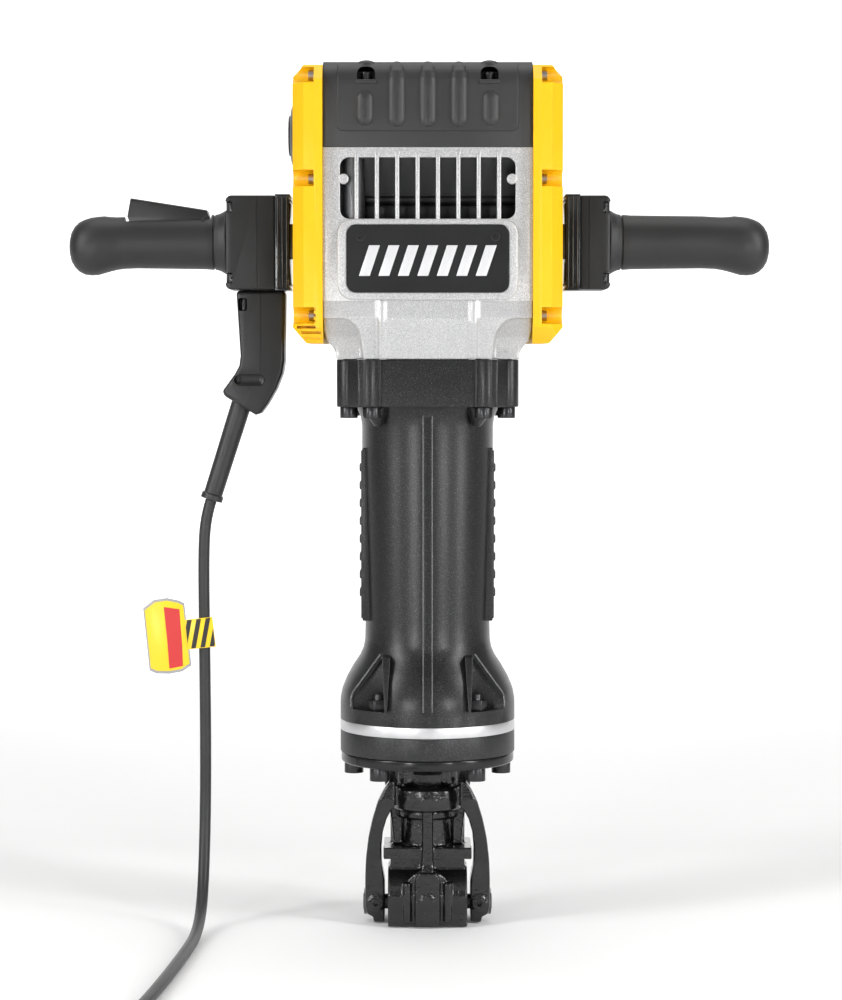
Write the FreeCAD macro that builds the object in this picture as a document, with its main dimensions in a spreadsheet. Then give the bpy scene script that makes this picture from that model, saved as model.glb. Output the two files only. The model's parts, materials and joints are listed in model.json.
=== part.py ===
import FreeCAD, Part
import Sketcher
import math
import os
import re
from FreeCAD import Placement, Rotation, Vector

# Electric breaker hammer. Origin: centre of the nose's lower face, on the tool axis.
# +Z up along the tool axis, +X towards the right handle, -Y is the front.
SIZES = {
    # casings
    "housingHalf": 93, "housingFront": 94, "housingLow": 521, "housingTop": 708,
    "wall": 7, "floorTop": 540, "coverOuter": 119.6, "coverDepth": 100, "coverLow": 535,
    "coverTop": 781, "sideScrewY": 84, "capTop": 785, "capWall": 6, "skin": 3,
    "windowHalf": 77.6, "windowLow": 645, "windowTop": 699, "finPitch": 18, "finWidth": 4.3,
    "badgeHalf": 72, "badgeLow": 579.5, "badgeTop": 640, "badgeRim": 8,
    # barrel and front end
    "collarHalf": 82.3, "collarDepth": 78, "collarLow": 478, "barrelTopRadius": 60.3,
    "barrelLowRadius": 57.2, "barrelBore": 50, "flareTop": 253, "flareRadius": 80.4,
    "flangeTop": 203, "barrelLow": 190.2, "clampLow": 180.4, "ringLow": 160,
    "plateLow": 151, "plateRadius": 78.5, "neckRadius": 26, "blockHalf": 36, "blockTop": 54,
    "sleeveRadius": 21, "toolAcross": 28.3, "shankDepth": 150, "boltCircle": 68,
    "boltRadius": 6,
    # drive
    "motorHeight": 725, "layHeight": 690.6, "crankHeight": 633.6, "crankThrow": 16,
    "rodLength": 92, "cylinderRadius": 32, "cylinderOuter": 38, "cylinderLow": 296,
    "cylinderTop": 592, "running": 0.05, "shaftRadius": 8, "crankShaftRadius": 12.5,
    "beatRadius": 22, "ramLow": 345, "ramTop": 405, "pistonLow": 500, "pistonTop": 578,
    # handles
    "handleHeight": 628, "guideX": 106, "guideRadius": 4, "hubHalf": 16, "armHalf": 16,
    "bracketInner": 125.5, "bracketOuter": 138, "blockLow": 583.6, "blockHigh": 669.6,
    "leftBlockEnd": 183.5, "rightBlockEnd": 166, "blockDepth": 30, "bracketDepth": 34,
    "gripRadius": 24.5, "gripBulb": 26.7, "gripHollow": 19, "leverDepth": 13,
    "leverPinX": 205, "leverPinZ": 648,
    # latch
    "latchHeight": 18.5, "pivotRadius": 7,
    # cord
    "cordRadius": 5.25, "coilX": -190, "coilY": -570, "coilInner": 39, "coilOuter": 81.5,
    "coilHeight": 32, "tieThick": 1.2,
}

document = FreeCAD.newDocument("breaker_hammer")
sheet = document.addObject("Spreadsheet::Sheet", "sizes")
for row, (alias, number) in enumerate(SIZES.items(), start=1):
    sheet.set("A%d" % row, alias)
    sheet.set("B%d" % row, str(number))
    sheet.setAlias("B%d" % row, alias)
document.recompute()

pieces = {}


def linked(expression):
    """The expression with each sheet alias written as sizes.alias."""
    return re.sub(r"[A-Za-z]\w*", lambda word: word.group(0) if word.group(0) in ("cos", "sin")
                  else "sizes." + word.group(0), str(expression))


def value(expression):
    """The number that an expression of sheet aliases has now."""
    return float(sheet.evalExpression(str(expression)))


def bind(thing, field, expression):
    thing.setExpression(field, linked(expression))


def keep(label, thing):
    """Names a finished sub-part."""
    thing.Label = label
    pieces[label] = thing
    return thing


def add(kind, name):
    return document.addObject(kind, name)


# ---- shapes ---------------------------------------------------------------------------------

def box(name, across, deep, high):
    """A box from three (low, high) pairs of expressions along X, Y and Z."""
    block = add("Part::Box", name)
    for side, base, (low, top) in zip(("Length", "Width", "Height"), "xyz", (across, deep, high)):
        bind(block, side, "(%s) - (%s)" % (top, low))
        bind(block, "Placement.Base." + base, low)
    return block


AXES = {"x": Rotation(Vector(0, 1, 0), 90), "y": Rotation(Vector(1, 0, 0), -90), "z": Rotation()}


def rod(name, axis, centre, span, radius, sides=0):
    """A cylinder, or a prism with that many sides, along an axis from span[0] to span[1]."""
    if sides:
        bar = add("Part::Prism", name)
        bar.Polygon = sides
        bind(bar, "Circumradius", radius)
    else:
        bar = add("Part::Cylinder", name)
        bind(bar, "Radius", radius)
    bind(bar, "Height", "(%s) - (%s)" % (span[1], span[0]))
    bar.Placement = Placement(Vector(), AXES[axis])
    others = iter(centre)
    for letter in "xyz":
        bind(bar, "Placement.Base." + letter, span[0] if letter == axis else next(others))
    return bar


def outline(body, name, plane, points):
    """A closed sketch of straight lines with every corner tied to the sheet."""
    sketch = body.newObject("Sketcher::SketchObject", name)
    origin = next(item for item in body.Origin.OriginFeatures if item.Role == plane)
    sketch.AttachmentSupport = [(origin, "")]
    sketch.MapMode = "FlatFace"
    corners = [Vector(value(across), value(up), 0) for across, up in points]
    following = corners[1:] + corners[:1]
    lines = sketch.addGeometry([Part.LineSegment(a, b) for a, b in zip(corners, following)], False)
    for line, after in zip(lines, lines[1:] + lines[:1]):
        sketch.addConstraint(Sketcher.Constraint("Coincident", line, 2, after, 1))
    for line, corner, (across, up) in zip(lines, corners, points):
        for kind, expression, number, axis in (("DistanceX", across, corner.x, -2),
                                               ("DistanceY", up, corner.y, -1)):
            if abs(number) < 1e-9:
                sketch.addConstraint(Sketcher.Constraint("PointOnObject", line, 1, axis))
                continue
            tied = Sketcher.Constraint(kind, -1, 1, line, 1, number)
            bind(sketch, "Constraints[%d]" % sketch.addConstraint(tied), expression)
    return sketch


def turned(name, axis, points, centre=("0", "0")):
    """A solid turned about Z from (radius, z) points, or about X from (x, radius) points."""
    body = add("PartDesign::Body", name)
    profile = outline(body, name + "_profile", "XZ_Plane", points)
    spin = body.newObject("PartDesign::Revolution", name + "_turn")
    spin.Profile = profile
    spin.ReferenceAxis = (profile, ["V_Axis" if axis == "z" else "H_Axis"])
    spin.Angle = 360
    letters = "xy" if axis == "z" else "yz"
    for letter, expression in zip(letters, centre):
        bind(body, "Placement.Base." + letter, expression)
    return body


def plate(name, plane, points, span):
    """A straight-sided plate: the outline on XY, XZ or YZ, from span[0] to span[1] across it."""
    body = add("PartDesign::Body", name)
    profile = outline(body, name + "_outline", plane + "_Plane", points)
    pad = body.newObject("PartDesign::Pad", name + "_pad")
    pad.Profile = profile
    pad.Midplane = True
    bind(pad, "Length", "(%s) - (%s)" % (span[1], span[0]))
    letter = {"XY": "z", "XZ": "y", "YZ": "x"}[plane]
    bind(body, "Placement.Base." + letter, "((%s) + (%s)) / 2" % (span[0], span[1]))
    return body


def fuse(name, *members):
    joined = add("Part::MultiFuse", name)
    joined.Shapes = list(members)
    return joined


def cut(name, base, *tools):
    result = add("Part::Cut", name)
    result.Base = base
    result.Tool = tools[0] if len(tools) == 1 else fuse(name + "_tools", *tools)
    return result


def common(name, *members):
    shared = add("Part::MultiCommon", name)
    shared.Shapes = list(members)
    return shared


def group(name, members):
    """Identical separate solids kept together as one sub-part."""
    family = add("Part::Compound", name)
    family.Links = list(members)
    return family


def rounded(name, source, radius, wanted):
    """Fillets those straight edges of the source for which wanted(start, end) is true."""
    document.recompute()
    soft = add("Part::Fillet", name)
    soft.Base = source
    chosen = []
    for number, edge in enumerate(source.Shape.Edges, start=1):
        ends = [vertex.Point for vertex in edge.Vertexes]
        if len(ends) == 2 and wanted(*ends):
            chosen.append((number, value(radius), value(radius)))
    soft.Edges = chosen
    return soft


def along(axis):
    """A test for edges that run along one axis."""
    index = "xyz".index(axis)

    def test(start, end):
        step = end - start
        return abs(step[index]) > 0.999 * step.Length
    return test


def free(name, shape, base=Vector()):
    """A sub-part whose shape is made directly from sheet sizes."""
    feature = add("Part::Feature", name)
    feature.Shape = shape
    feature.Placement = Placement(base, Rotation())
    return feature


def bolt(name, axis, centre, seat, head, shank, drive=0):
    """A screw: head from seat outwards, shank inwards. head and shank are (radius, length)."""
    out = "(%s) + (%s)" % (seat, head[1])
    into = "(%s) - (%s)" % (seat, shank[1])
    top = rod(name + "_head", axis, centre, sorted((seat, out), key=value), head[0])
    stem = rod(name + "_stem", axis, centre, sorted((seat, into), key=value), shank[0])
    whole = fuse(name, top, stem)
    if not drive:
        return whole
    bottom = "(%s) + (%s) * 0.4" % (seat, head[1])
    key = rod(name + "_key", axis, centre, sorted((bottom, out), key=value), drive, 6)
    return cut(name + "_socketed", whole, key)


# ---- motor and gear housing -----------------------------------------------------------------

def side_screw_holes():
    """The threaded holes that the side covers' screws enter in the casings between them."""
    return [rod("side_screw_hole", "x", place, sorted(
        ("%s * 88.5" % end, "%s * (housingHalf + 1)" % end), key=value), "2.5")
        for end in ("-1", "1") for place in side_screw_places()]


def main_housing():
    front = plate("housing_front", "XZ", [
        ("-housingHalf", "housingTop"), ("-housingHalf", "548"), ("-88", "532"),
        ("-collarHalf - 1", "housingLow"), ("collarHalf + 1", "housingLow"), ("88", "532"),
        ("housingHalf", "548"), ("housingHalf", "housingTop")], ("-housingFront", "housingFront"))
    side = plate("housing_side", "YZ", [
        ("-housingFront", "housingTop"), ("-housingFront", "566"), ("-collarDepth - 6", "543"),
        ("-collarDepth", "housingLow"), ("collarDepth", "housingLow"), ("collarDepth + 6", "543"),
        ("housingFront", "566"), ("housingFront", "housingTop")], ("-housingHalf", "housingHalf"))
    shell = common("housing_block", front, side)
    hollow = box("housing_hollow", ("-housingHalf + wall", "housingHalf - wall"),
                 ("-collarDepth + wall", "collarDepth - wall"), ("floorTop", "housingTop"))
    room = box("housing_room", ("-housingHalf + wall", "housingHalf - wall"),
               ("-housingFront + wall", "housingFront - wall"), ("575", "housingTop"))
    window = box("housing_windows", ("-windowHalf", "windowHalf"),
                 ("-housingFront - 1", "housingFront + 1"), ("windowLow", "windowTop"))
    bore = rod("cylinder_bore", "z", ("0", "0"), ("housingLow - 1", "floorTop + 1"),
               "cylinderOuter")
    cap_hole = rod("cap_hole", "x", ("0", "motorHeight"), ("-housingHalf - 1", "-housingHalf + wall + 1"),
                   "40")
    holes = [rod("collar_hole", "z", place, ("housingLow - 1", "534"), "5")
             for place in collar_bolt_places()]
    holes += side_screw_holes()
    cast = cut("housing_cast", shell, hollow, room, window, bore, cap_hole, *holes)
    extras = []
    for back in ("-1", "1"):
        inner, outer = "%s * (housingFront - wall)" % back, "%s * housingFront" % back
        deep = sorted((inner, outer), key=value)
        for number in range(8):
            middle = "(%s) * finPitch" % (number - 3.5)
            extras.append(box("fin", (middle + " - finWidth / 2", middle + " + finWidth / 2"), deep,
                              ("windowLow - 1", "windowTop + 1")))
        for end in ("-1", "1"):
            extras.append(rod("boss", "y", ("%s * (windowHalf - 1)" % end, "680"), deep, "4.8"))
        proud = sorted((outer, "%s * (housingFront + 2.5)" % back), key=value)
        rim = box("badge_frame", ("-badgeHalf - badgeRim", "badgeHalf + badgeRim"), proud,
                  ("badgeLow - 5", "badgeTop + 4.5"))
        well = box("badge_well", ("-badgeHalf", "badgeHalf"), proud, ("badgeLow", "badgeTop"))
        extras.append(cut("badge_surround", rim, well))
    for end in ("-1", "1"):
        for low in ("573", "677"):
            reach = sorted(("%s * (housingHalf - 1)" % end, "%s * (guideX + 8)" % end), key=value)
            lug = box("guide_lug", reach, ("-9", "9"), (low, low + " + 6"))
            eye = rod("guide_eye", "z", ("%s * guideX" % end, "0"), (low + " - 1", low + " + 7"),
                      "guideRadius")
            extras.append(cut("drilled_lug", lug, eye))
    keep("main_housing", fuse("housing_whole", cast, *extras))


def top_cover():
    shell = plate("cap_shell", "YZ", [
        ("-housingFront", "housingTop"), ("-housingFront", "760"), ("-90", "773"),
        ("-80", "781"), ("-66", "capTop"), ("66", "capTop"), ("80", "781"), ("90", "773"),
        ("housingFront", "760"), ("housingFront", "housingTop")], ("-housingHalf", "housingHalf"))
    hollow = box("cap_hollow", ("-housingHalf + 5", "housingHalf - 5"),
                 ("-housingFront + capWall", "housingFront - capWall"), ("housingTop", "762"))
    attic = box("cap_attic", ("-housingHalf + 5", "housingHalf - 5"), ("-74", "74"),
                ("housingTop", "capTop - capWall"))
    cap_hole = rod("cap_side_hole", "x", ("0", "motorHeight"), ("-housingHalf - 1", "-housingHalf + 6"),
                   "40")
    wells = [rod("cap_well", "z", (x, y), ("768", "capTop + 1"), "8")
             for x in ("-54.5", "54.5") for y in ("-84", "84")]
    holes = [rod("cap_bolt_hole", "z", (x, y), ("700", "769"), "3")
             for x in ("-54.5", "54.5") for y in ("-84", "84")]
    holes += side_screw_holes()
    hollowed = cut("cap_hollowed", shell, hollow, attic, cap_hole, *wells, *holes)
    ribs = []
    for back in ("-1", "1"):
        deep = sorted(("%s * (housingFront - 1)" % back, "%s * (housingFront + 3)" % back), key=value)
        for middle, top in (("0", "778"), ("-27.5", "778"), ("27.5", "778"), ("-56", "760"), ("56", "760")):
            # Each rib is a tall rounded rib proud of the cover's face.
            deeper = deep if top == "760" else sorted(
                ("%s * 78" % back, "%s * (housingFront + 3)" % back), key=value)
            bar = box("cap_rib", (middle + " - 7.2", middle + " + 7.2"), deeper, ("723", top))
            ribs.append(rounded("cap_rib_round", bar, "6", along("y")))
    keep("top_cover", fuse("cap_whole", hollowed, *ribs))
    bolts = [bolt("cap_bolt", "z", (x, y), "768", ("5", "6"), ("2.95", "40"), "2.5")
             for x in ("-54.5", "54.5") for y in ("-84", "84")]
    keep("top_cover_bolts", group("cap_bolt_set", bolts))


def side_screw_heights():
    return ("771.5", "680.5", "559.5")


def side_screw_places():
    return [("%s * sideScrewY" % back, height) for height in side_screw_heights() for back in ("-1", "1")]


def side_cover(label, end, with_cap_hole):
    """A yellow side cover: a deep shell with a slot for the handle arm and six screw grooves."""
    near, far = "%s * housingHalf" % end, "%s * coverOuter" % end
    bevel = [("-coverDepth", "coverLow + 14"), ("-coverDepth + 12", "coverLow"),
             ("coverDepth - 12", "coverLow"), ("coverDepth", "coverLow + 14"),
             ("coverDepth", "coverTop - 14"), ("coverDepth - 14", "coverTop"),
             ("-coverDepth + 14", "coverTop"), ("-coverDepth", "coverTop - 14")]
    side = plate(label + "_side", "YZ", bevel, sorted((near, far), key=value))
    front = plate(label + "_front", "XZ", [
        (near, "coverLow"), ("%s * (coverOuter - 12)" % end, "coverLow"), (far, "coverLow + 14"),
        (far, "coverTop - 10"), ("%s * (coverOuter - 10)" % end, "coverTop"), (near, "coverTop")],
        ("-coverDepth", "coverDepth"))
    shell = common(label + "_shell", side, front)
    inside = sorted((near, "%s * (coverOuter - skin)" % end), key=value)
    tools = [box(label + "_hollow", inside, ("-76", "76"), ("coverLow + 14", "762")),
             box(label + "_slot", sorted(("%s * (coverOuter - 6)" % end, far), key=value),
                 ("-armHalf - 2", "armHalf + 2"), ("handleHeight - 24", "handleHeight + 24"))]
    for back in ("-1", "1"):
        for height in side_screw_heights():
            place = ("%s * sideScrewY" % back, height)
            reach = sorted(("%s * 100.6" % end, "%s * (coverOuter + 1)" % end), key=value)
            tools.append(rod(label + "_groove", "x", place, reach, "7.3"))
            mouth = sorted((place[0], "%s * (coverDepth + 1)" % back), key=value)
            tools.append(box(label + "_groove_mouth", reach, mouth,
                             (height + " - 7.3", height + " + 7.3")))
            inner = sorted(("%s * (housingHalf - 1)" % end, "%s * 101" % end), key=value)
            tools.append(rod(label + "_screw_hole", "x", place, inner, "2.5"))
    if with_cap_hole:
        reach = sorted((near, "%s * (coverOuter + 1)" % end), key=value)
        tools.append(rod(label + "_cap_hole", "x", ("0", "motorHeight"), reach, "40"))
        for number in range(4):
            low = "548 + %d * 5.2" % number
            tools.append(box(label + "_vent", sorted(("%s * 99" % end, "%s * 116" % end), key=value),
                             ("-coverDepth - 1", "-85"), (low, low + " + 2.6")))
    keep(label, cut(label + "_cut", shell, *tools))


def side_cover_screws():
    screws = [bolt("cover_screw", "x", place, "%s * 100.6" % end, ("4.6", "%s * 5" % end),
                   ("2.45", "%s * 11.5" % end), "2.4")
              for end in ("-1", "1") for place in side_screw_places()]
    keep("side_cover_screws", group("cover_screw_set", screws))


def badge():
    face = box("badge_face", ("-badgeHalf + 0.3", "badgeHalf - 0.3"),
               ("-housingFront - 1.6", "-housingFront"), ("badgeLow + 0.3", "badgeTop - 0.3"))
    corners = rounded("badge_corners", face, "8.5", along("y"))
    places = [(x, "629") for x in ("-59.5", "59.5")]
    holes = [rod("badge_hole", "y", place, ("-housingFront - 2", "-housingFront + 1"), "1.5")
             for place in places]
    keep("badge_plate", cut("badge_drilled", corners, *holes))
    screws = [bolt("badge_screw", "y", place, "-housingFront - 1.6", ("3.6", "-1.6"), ("1.45", "-1.5"),
                   "1.6") for place in places]
    keep("badge_screws", group("badge_screw_set", screws))


# ---- barrel and front end -------------------------------------------------------------------

def collar_bolt_places():
    return [(side + across, back + deep) for side in ("-1", "1") for back in ("-1", "1")
            for across, deep in ((" * 50", " * 67"), (" * 71", " * 51"))]


def on_bolt_circle(turns):
    return [("boltCircle * cos(%d)" % turn, "boltCircle * sin(%d)" % turn) for turn in turns]


# Four through bolts carry nuts in the barrel's pockets; two more are threaded into its flange.
THROUGH_TURNS = (50, 130, 230, 310)
THREADED_TURNS = (0, 180)


def barrel_housing():
    tube = turned("barrel_tube", "z", [
        ("barrelBore", "barrelLow"), ("flareRadius", "barrelLow"), ("flareRadius", "flangeTop + 1"),
        ("flareRadius - 2", "flangeTop + 10"), ("flareRadius - 12", "flangeTop + 28"),
        ("barrelLowRadius + 3", "flareTop - 10"), ("barrelLowRadius", "flareTop"),
        ("barrelLowRadius", "285"), ("barrelTopRadius", "430"), ("barrelTopRadius", "collarLow + 1"),
        ("barrelBore", "collarLow + 1")])
    collar = plate("barrel_collar", "XY", [
        ("-62", "-collarDepth"), ("62", "-collarDepth"), ("collarHalf", "-52"), ("collarHalf", "52"),
        ("62", "collarDepth"), ("-62", "collarDepth"), ("-collarHalf", "52"), ("-collarHalf", "-52")],
        ("collarLow", "housingLow"))
    pads = [box("barrel_pad", sorted(("%s * 54" % end, "%s * 60.7" % end), key=value), ("-20", "20"),
                ("283.5", "432")) for end in ("-1", "1")]
    strips = [box("barrel_strip", ("-4", "4"), sorted(("%s * 52" % back, "%s * 61.4" % back), key=value),
                  ("flangeTop", "475")) for back in ("-1", "1")]
    solid = fuse("barrel_solid", tube, collar, *pads, *strips)
    bore = rod("barrel_core", "z", ("0", "0"), ("barrelLow - 1", "collarLow"), "barrelBore")
    top_bore = rod("barrel_top_bore", "z", ("0", "0"), ("collarLow - 1", "housingLow + 1"),
                   "cylinderOuter")
    tools = [bore, top_bore]
    for across in ("-1", "1"):
        for back in ("-1", "1"):
            tools.append(plate("gusset_pocket", "XZ", [
                (across + " * 40", "flareTop - 2"), (across + " * 67", "flangeTop + 14"),
                (across + " * 69", "flangeTop"), (across + " * 37", "flangeTop")],
                sorted(("%s * 45" % back, "%s * 90" % back), key=value)))
    tools += [rod("through_hole", "z", place, ("barrelLow - 1", "flangeTop + 1"), "boltRadius")
              for place in on_bolt_circle(THROUGH_TURNS)]
    tools += [rod("nut_seat", "z", place, ("flangeTop", "flangeTop + 17"), "10.9")
              for place in on_bolt_circle(THROUGH_TURNS)]
    tools += [rod("threaded_hole", "z", place, ("barrelLow - 1", "flangeTop - 4"), "boltRadius")
              for place in on_bolt_circle(THREADED_TURNS)]
    tools += [rod("collar_bolt_hole", "z", place, ("collarLow - 1", "housingLow + 1"), "5")
              for place in collar_bolt_places()]
    keep("barrel_housing", cut("barrel_cut", solid, *tools))
    bolts = [bolt("collar_bolt", "z", place, "collarLow", ("8", "-10"), ("5", "-54"), "4.6")
             for place in collar_bolt_places()]
    keep("collar_bolts", group("collar_bolt_set", bolts))


def flange_nuts():
    nuts = []
    for place in on_bolt_circle(THROUGH_TURNS):
        nut = rod("nut", "z", place, ("flangeTop", "flangeTop + 10"), "10.4", 6)
        eye = rod("nut_eye", "z", place, ("flangeTop - 1", "flangeTop + 11"), "boltRadius")
        nuts.append(cut("drilled_nut", nut, eye))
    keep("flange_nuts", group("nut_set", nuts))


def front_rings():
    clamp = turned("clamp_turned", "z", [
        ("barrelBore", "clampLow"), ("flareRadius", "clampLow"), ("flareRadius", "barrelLow"),
        ("barrelBore", "barrelLow")])
    keep("clamp_ring", cut("clamp_drilled", clamp, *[
        rod("clamp_hole", "z", place, ("clampLow - 1", "barrelLow + 1"), "boltRadius")
        for place in on_bolt_circle(THROUGH_TURNS + THREADED_TURNS)]))
    lower = turned("lower_turned", "z", [
        ("barrelBore", "ringLow"), ("flareRadius - 0.8", "ringLow"), ("flareRadius", "ringLow + 1"),
        ("flareRadius", "clampLow - 1"), ("flareRadius - 0.8", "clampLow"), ("barrelBore", "clampLow")])
    keep("lower_ring", cut("lower_drilled", lower, *[
        rod("lower_hole", "z", place, ("ringLow - 1", "clampLow + 1"), "boltRadius")
        for place in on_bolt_circle(THROUGH_TURNS + THREADED_TURNS)]))


def nose_casting():
    flange = turned("nose_flange", "z", [
        ("0", "plateLow"), ("plateRadius", "plateLow"), ("plateRadius", "ringLow"), ("0", "ringLow")])
    neck = rod("nose_neck", "z", ("0", "0"), ("40", "plateLow + 1"), "neckRadius")
    web = plate("nose_web", "XZ", [
        ("-42.5", "plateLow + 1"), ("42.5", "plateLow + 1"), ("42.5", "144"), ("33", "84"),
        ("33", "50"), ("-33", "50"), ("-33", "84"), ("-42.5", "144")], ("-8", "8"))
    rib = box("nose_rib", ("-4", "4"), ("-blockHalf", "blockHalf"), ("50", "108"))
    shelf = box("nose_shelf", ("-40", "40"), ("-30", "30"), ("67", "74"))
    block = box("nose_block", ("-blockHalf", "blockHalf"), ("-blockHalf", "blockHalf"),
                ("0", "blockTop"))
    soft_block = rounded("nose_block_round", block, "9", along("z"))
    boss = box("nose_boss", ("-20.5", "20.5"), ("-40", "40"), ("6", "52"))
    soft_boss = rounded("nose_boss_round", boss, "4", along("z"))
    whole = fuse("nose_solid", flange, neck, web, rib, shelf, soft_block, soft_boss)
    tools = [rod("nose_bore", "z", ("0", "0"), ("-1", "plateLow - 0.8"), "sleeveRadius + 0.03"),
             rod("nose_top_bore", "z", ("0", "0"), ("plateLow - 1", "ringLow + 1"), "18")]
    tools += [rod("nose_bolt_hole", "z", place, ("plateLow - 1", "ringLow + 1"), "boltRadius")
              for place in on_bolt_circle(THROUGH_TURNS + THREADED_TURNS)]
    tools += [rod("pivot_seat", "x", ("0", "latchHeight"), sorted(
        ("%s * 24" % end, "%s * 60" % end), key=value), "pivotRadius") for end in ("-1", "1")]
    keep("nose_casting", cut("nose_cut", whole, *tools))
    bolts = []
    for turns, reach in ((THROUGH_TURNS, "flangeTop + 15"), (THREADED_TURNS, "flangeTop - 5")):
        bolts += [bolt("nose_bolt", "z", place, "plateLow", ("8.8", "-12"),
                       ("boltRadius - 0.03", "plateLow - (%s)" % reach), "5.8")
                  for place in on_bolt_circle(turns)]
    keep("nose_bolts", group("nose_bolt_set", bolts))
    bar = rod("sleeve_bar", "z", ("0", "0"), ("0.4", "shankDepth"), "sleeveRadius")
    hexagon = rod("sleeve_hexagon", "z", ("0", "0"), ("0", "shankDepth + 1"),
                  "toolAcross / 2 / cos(30)", 6)
    keep("tool_sleeve", cut("sleeve_cut", bar, hexagon))


def latch():
    arms = [plate("yoke_front", "XZ", [
        ("-36.5", "144"), ("-44", "122"), ("-51", "97"), ("-56", "71"), ("-57.6", "42"), ("-57", "12"),
        ("-53.5", "2.5"), ("-42.5", "2.5"), ("-39.2", "12"), ("-39.2", "40"), ("-42", "55"),
        ("-42", "80"), ("-37.5", "100"), ("-30", "114"), ("-28", "122"), ("28", "122"),
        ("30", "114"), ("37.5", "100"), ("42", "80"), ("42", "55"), ("39.2", "40"), ("39.2", "12"),
        ("42.5", "2.5"), ("53.5", "2.5"), ("57", "12"), ("57.6", "42"), ("56", "71"), ("51", "97"),
        ("44", "122"), ("36.5", "144")], ("-60", "30"))]
    side = plate("yoke_side", "YZ", [
        ("-14", "2"), ("14", "2"), ("16", "18"), ("14", "34"), ("6", "60"), ("-10", "92"),
        ("-27.5", "116"), ("-27.5", "145"), ("-41", "145"), ("-42", "120"), ("-30", "92"),
        ("-17", "60"), ("-16", "34"), ("-16", "18")], ("-60", "60"))
    shape = common("yoke_shape", *arms, side)
    eyes = [rod("yoke_eye", "x", ("0", "latchHeight"), sorted(
        ("%s * 38" % end, "%s * 62" % end), key=value), "pivotRadius + running") for end in ("-1", "1")]
    keep("latch_yoke", cut("yoke_cut", shape, *eyes))
    pins = []
    for end in ("-1", "1"):
        stem = rod("pivot_stem", "x", ("0", "latchHeight"), sorted(
            ("%s * 24" % end, "%s * 59.5" % end), key=value), "pivotRadius")
        pins.append(stem)
    keep("latch_pivots", group("pivot_set", pins))


# ---- motor, gears and hammer mechanism ------------------------------------------------------

def ring_about_x(name, span, inner, outer, centre):
    return turned(name, "x", [(span[0], inner), (span[1], inner), (span[1], outer), (span[0], outer)],
                  centre)


def gear(teeth, module, low, width, bore=0.0, offset=0.0):
    """A spur gear along X from x = low, with narrow straight-sided teeth, turned by offset of a tooth."""
    pitch = teeth * module / 2
    radii = (pitch - 1.2 * module, pitch - 1.2 * module, pitch + 0.85 * module, pitch + 0.85 * module)
    spans = (-0.30, 0.30, 0.11, -0.11)
    order = (0, 3, 2, 1)
    corners = []
    for tooth in range(teeth):
        for index in order:
            turn = 2 * math.pi * (tooth + offset + spans[index]) / teeth
            corners.append(Vector(low, radii[index] * math.sin(turn), radii[index] * math.cos(turn)))
    face = Part.Face(Part.makePolygon(corners + corners[:1]))
    wheel = face.extrude(Vector(width, 0, 0))
    if bore:
        wheel = wheel.cut(Part.makeCylinder(bore, width + 2, Vector(low - 1, 0, 0), Vector(1, 0, 0)))
    return wheel


def motor():
    centre = ("0", "motorHeight")
    pinion = gear(10, 1.25, 64, 12)
    stem = Part.makeCylinder(value("shaftRadius") - 2.6, 14, Vector(50, 0, 0), Vector(1, 0, 0))
    journal = Part.makeCylinder(value("shaftRadius"), 158, Vector(-106, 0, 0), Vector(1, 0, 0))
    shaft = journal.fuse([stem, pinion]).removeSplitter()
    keep("motor_shaft", free("motor_shaft_solid", shaft, Vector(0, 0, value("motorHeight"))))
    keep("armature_core", ring_about_x("core_turned", ("-46", "14"), "shaftRadius", "28", centre))
    keep("commutator", ring_about_x("commutator_turned", ("-70", "-54"), "shaftRadius", "18", centre))
    hub = Part.makeCylinder(14, 9, Vector(-84, 0, 0), Vector(1, 0, 0))
    blades = []
    for number in range(9):
        blade = Part.makeBox(9, 2.4, 24, Vector(-84, -1.2, 12))
        blade.rotate(Vector(), Vector(1, 0, 0), number * 40)
        blades.append(blade)
    fan = hub.fuse(blades + [Part.makeCylinder(36, 1.6, Vector(-84, 0, 0), Vector(1, 0, 0))])
    fan = fan.cut(Part.makeCylinder(value("shaftRadius"), 12, Vector(-85, 0, 0), Vector(1, 0, 0)))
    keep("cooling_fan", free("fan_solid", fan.removeSplitter(), Vector(0, 0, value("motorHeight"))))
    keep("motor_stator", ring_about_x("stator_turned", ("-50", "20"), "29.5", "45", centre))
    keep("carbon_brushes", group("brush_set", [
        box("brush", ("-66", "-58"), sorted(("%s * 18.4" % side, "%s * 38" % side), key=value),
            ("motorHeight - 4", "motorHeight + 4")) for side in ("-1", "1")]))
    keep("motor_end_cap", turned("end_cap_turned", "x", [
        ("-86", "30"), ("-86", "39.6"), ("-118", "39.6"), ("-122", "36"), ("-125", "26"),
        ("-126.3", "12"), ("-126.5", "0"), ("-107.5", "0"), ("-107.5", "9"), ("-104", "9"), ("-104", "16"),
        ("-92", "16"), ("-92", "20"), ("-110", "24"), ("-110", "30")], centre))


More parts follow.
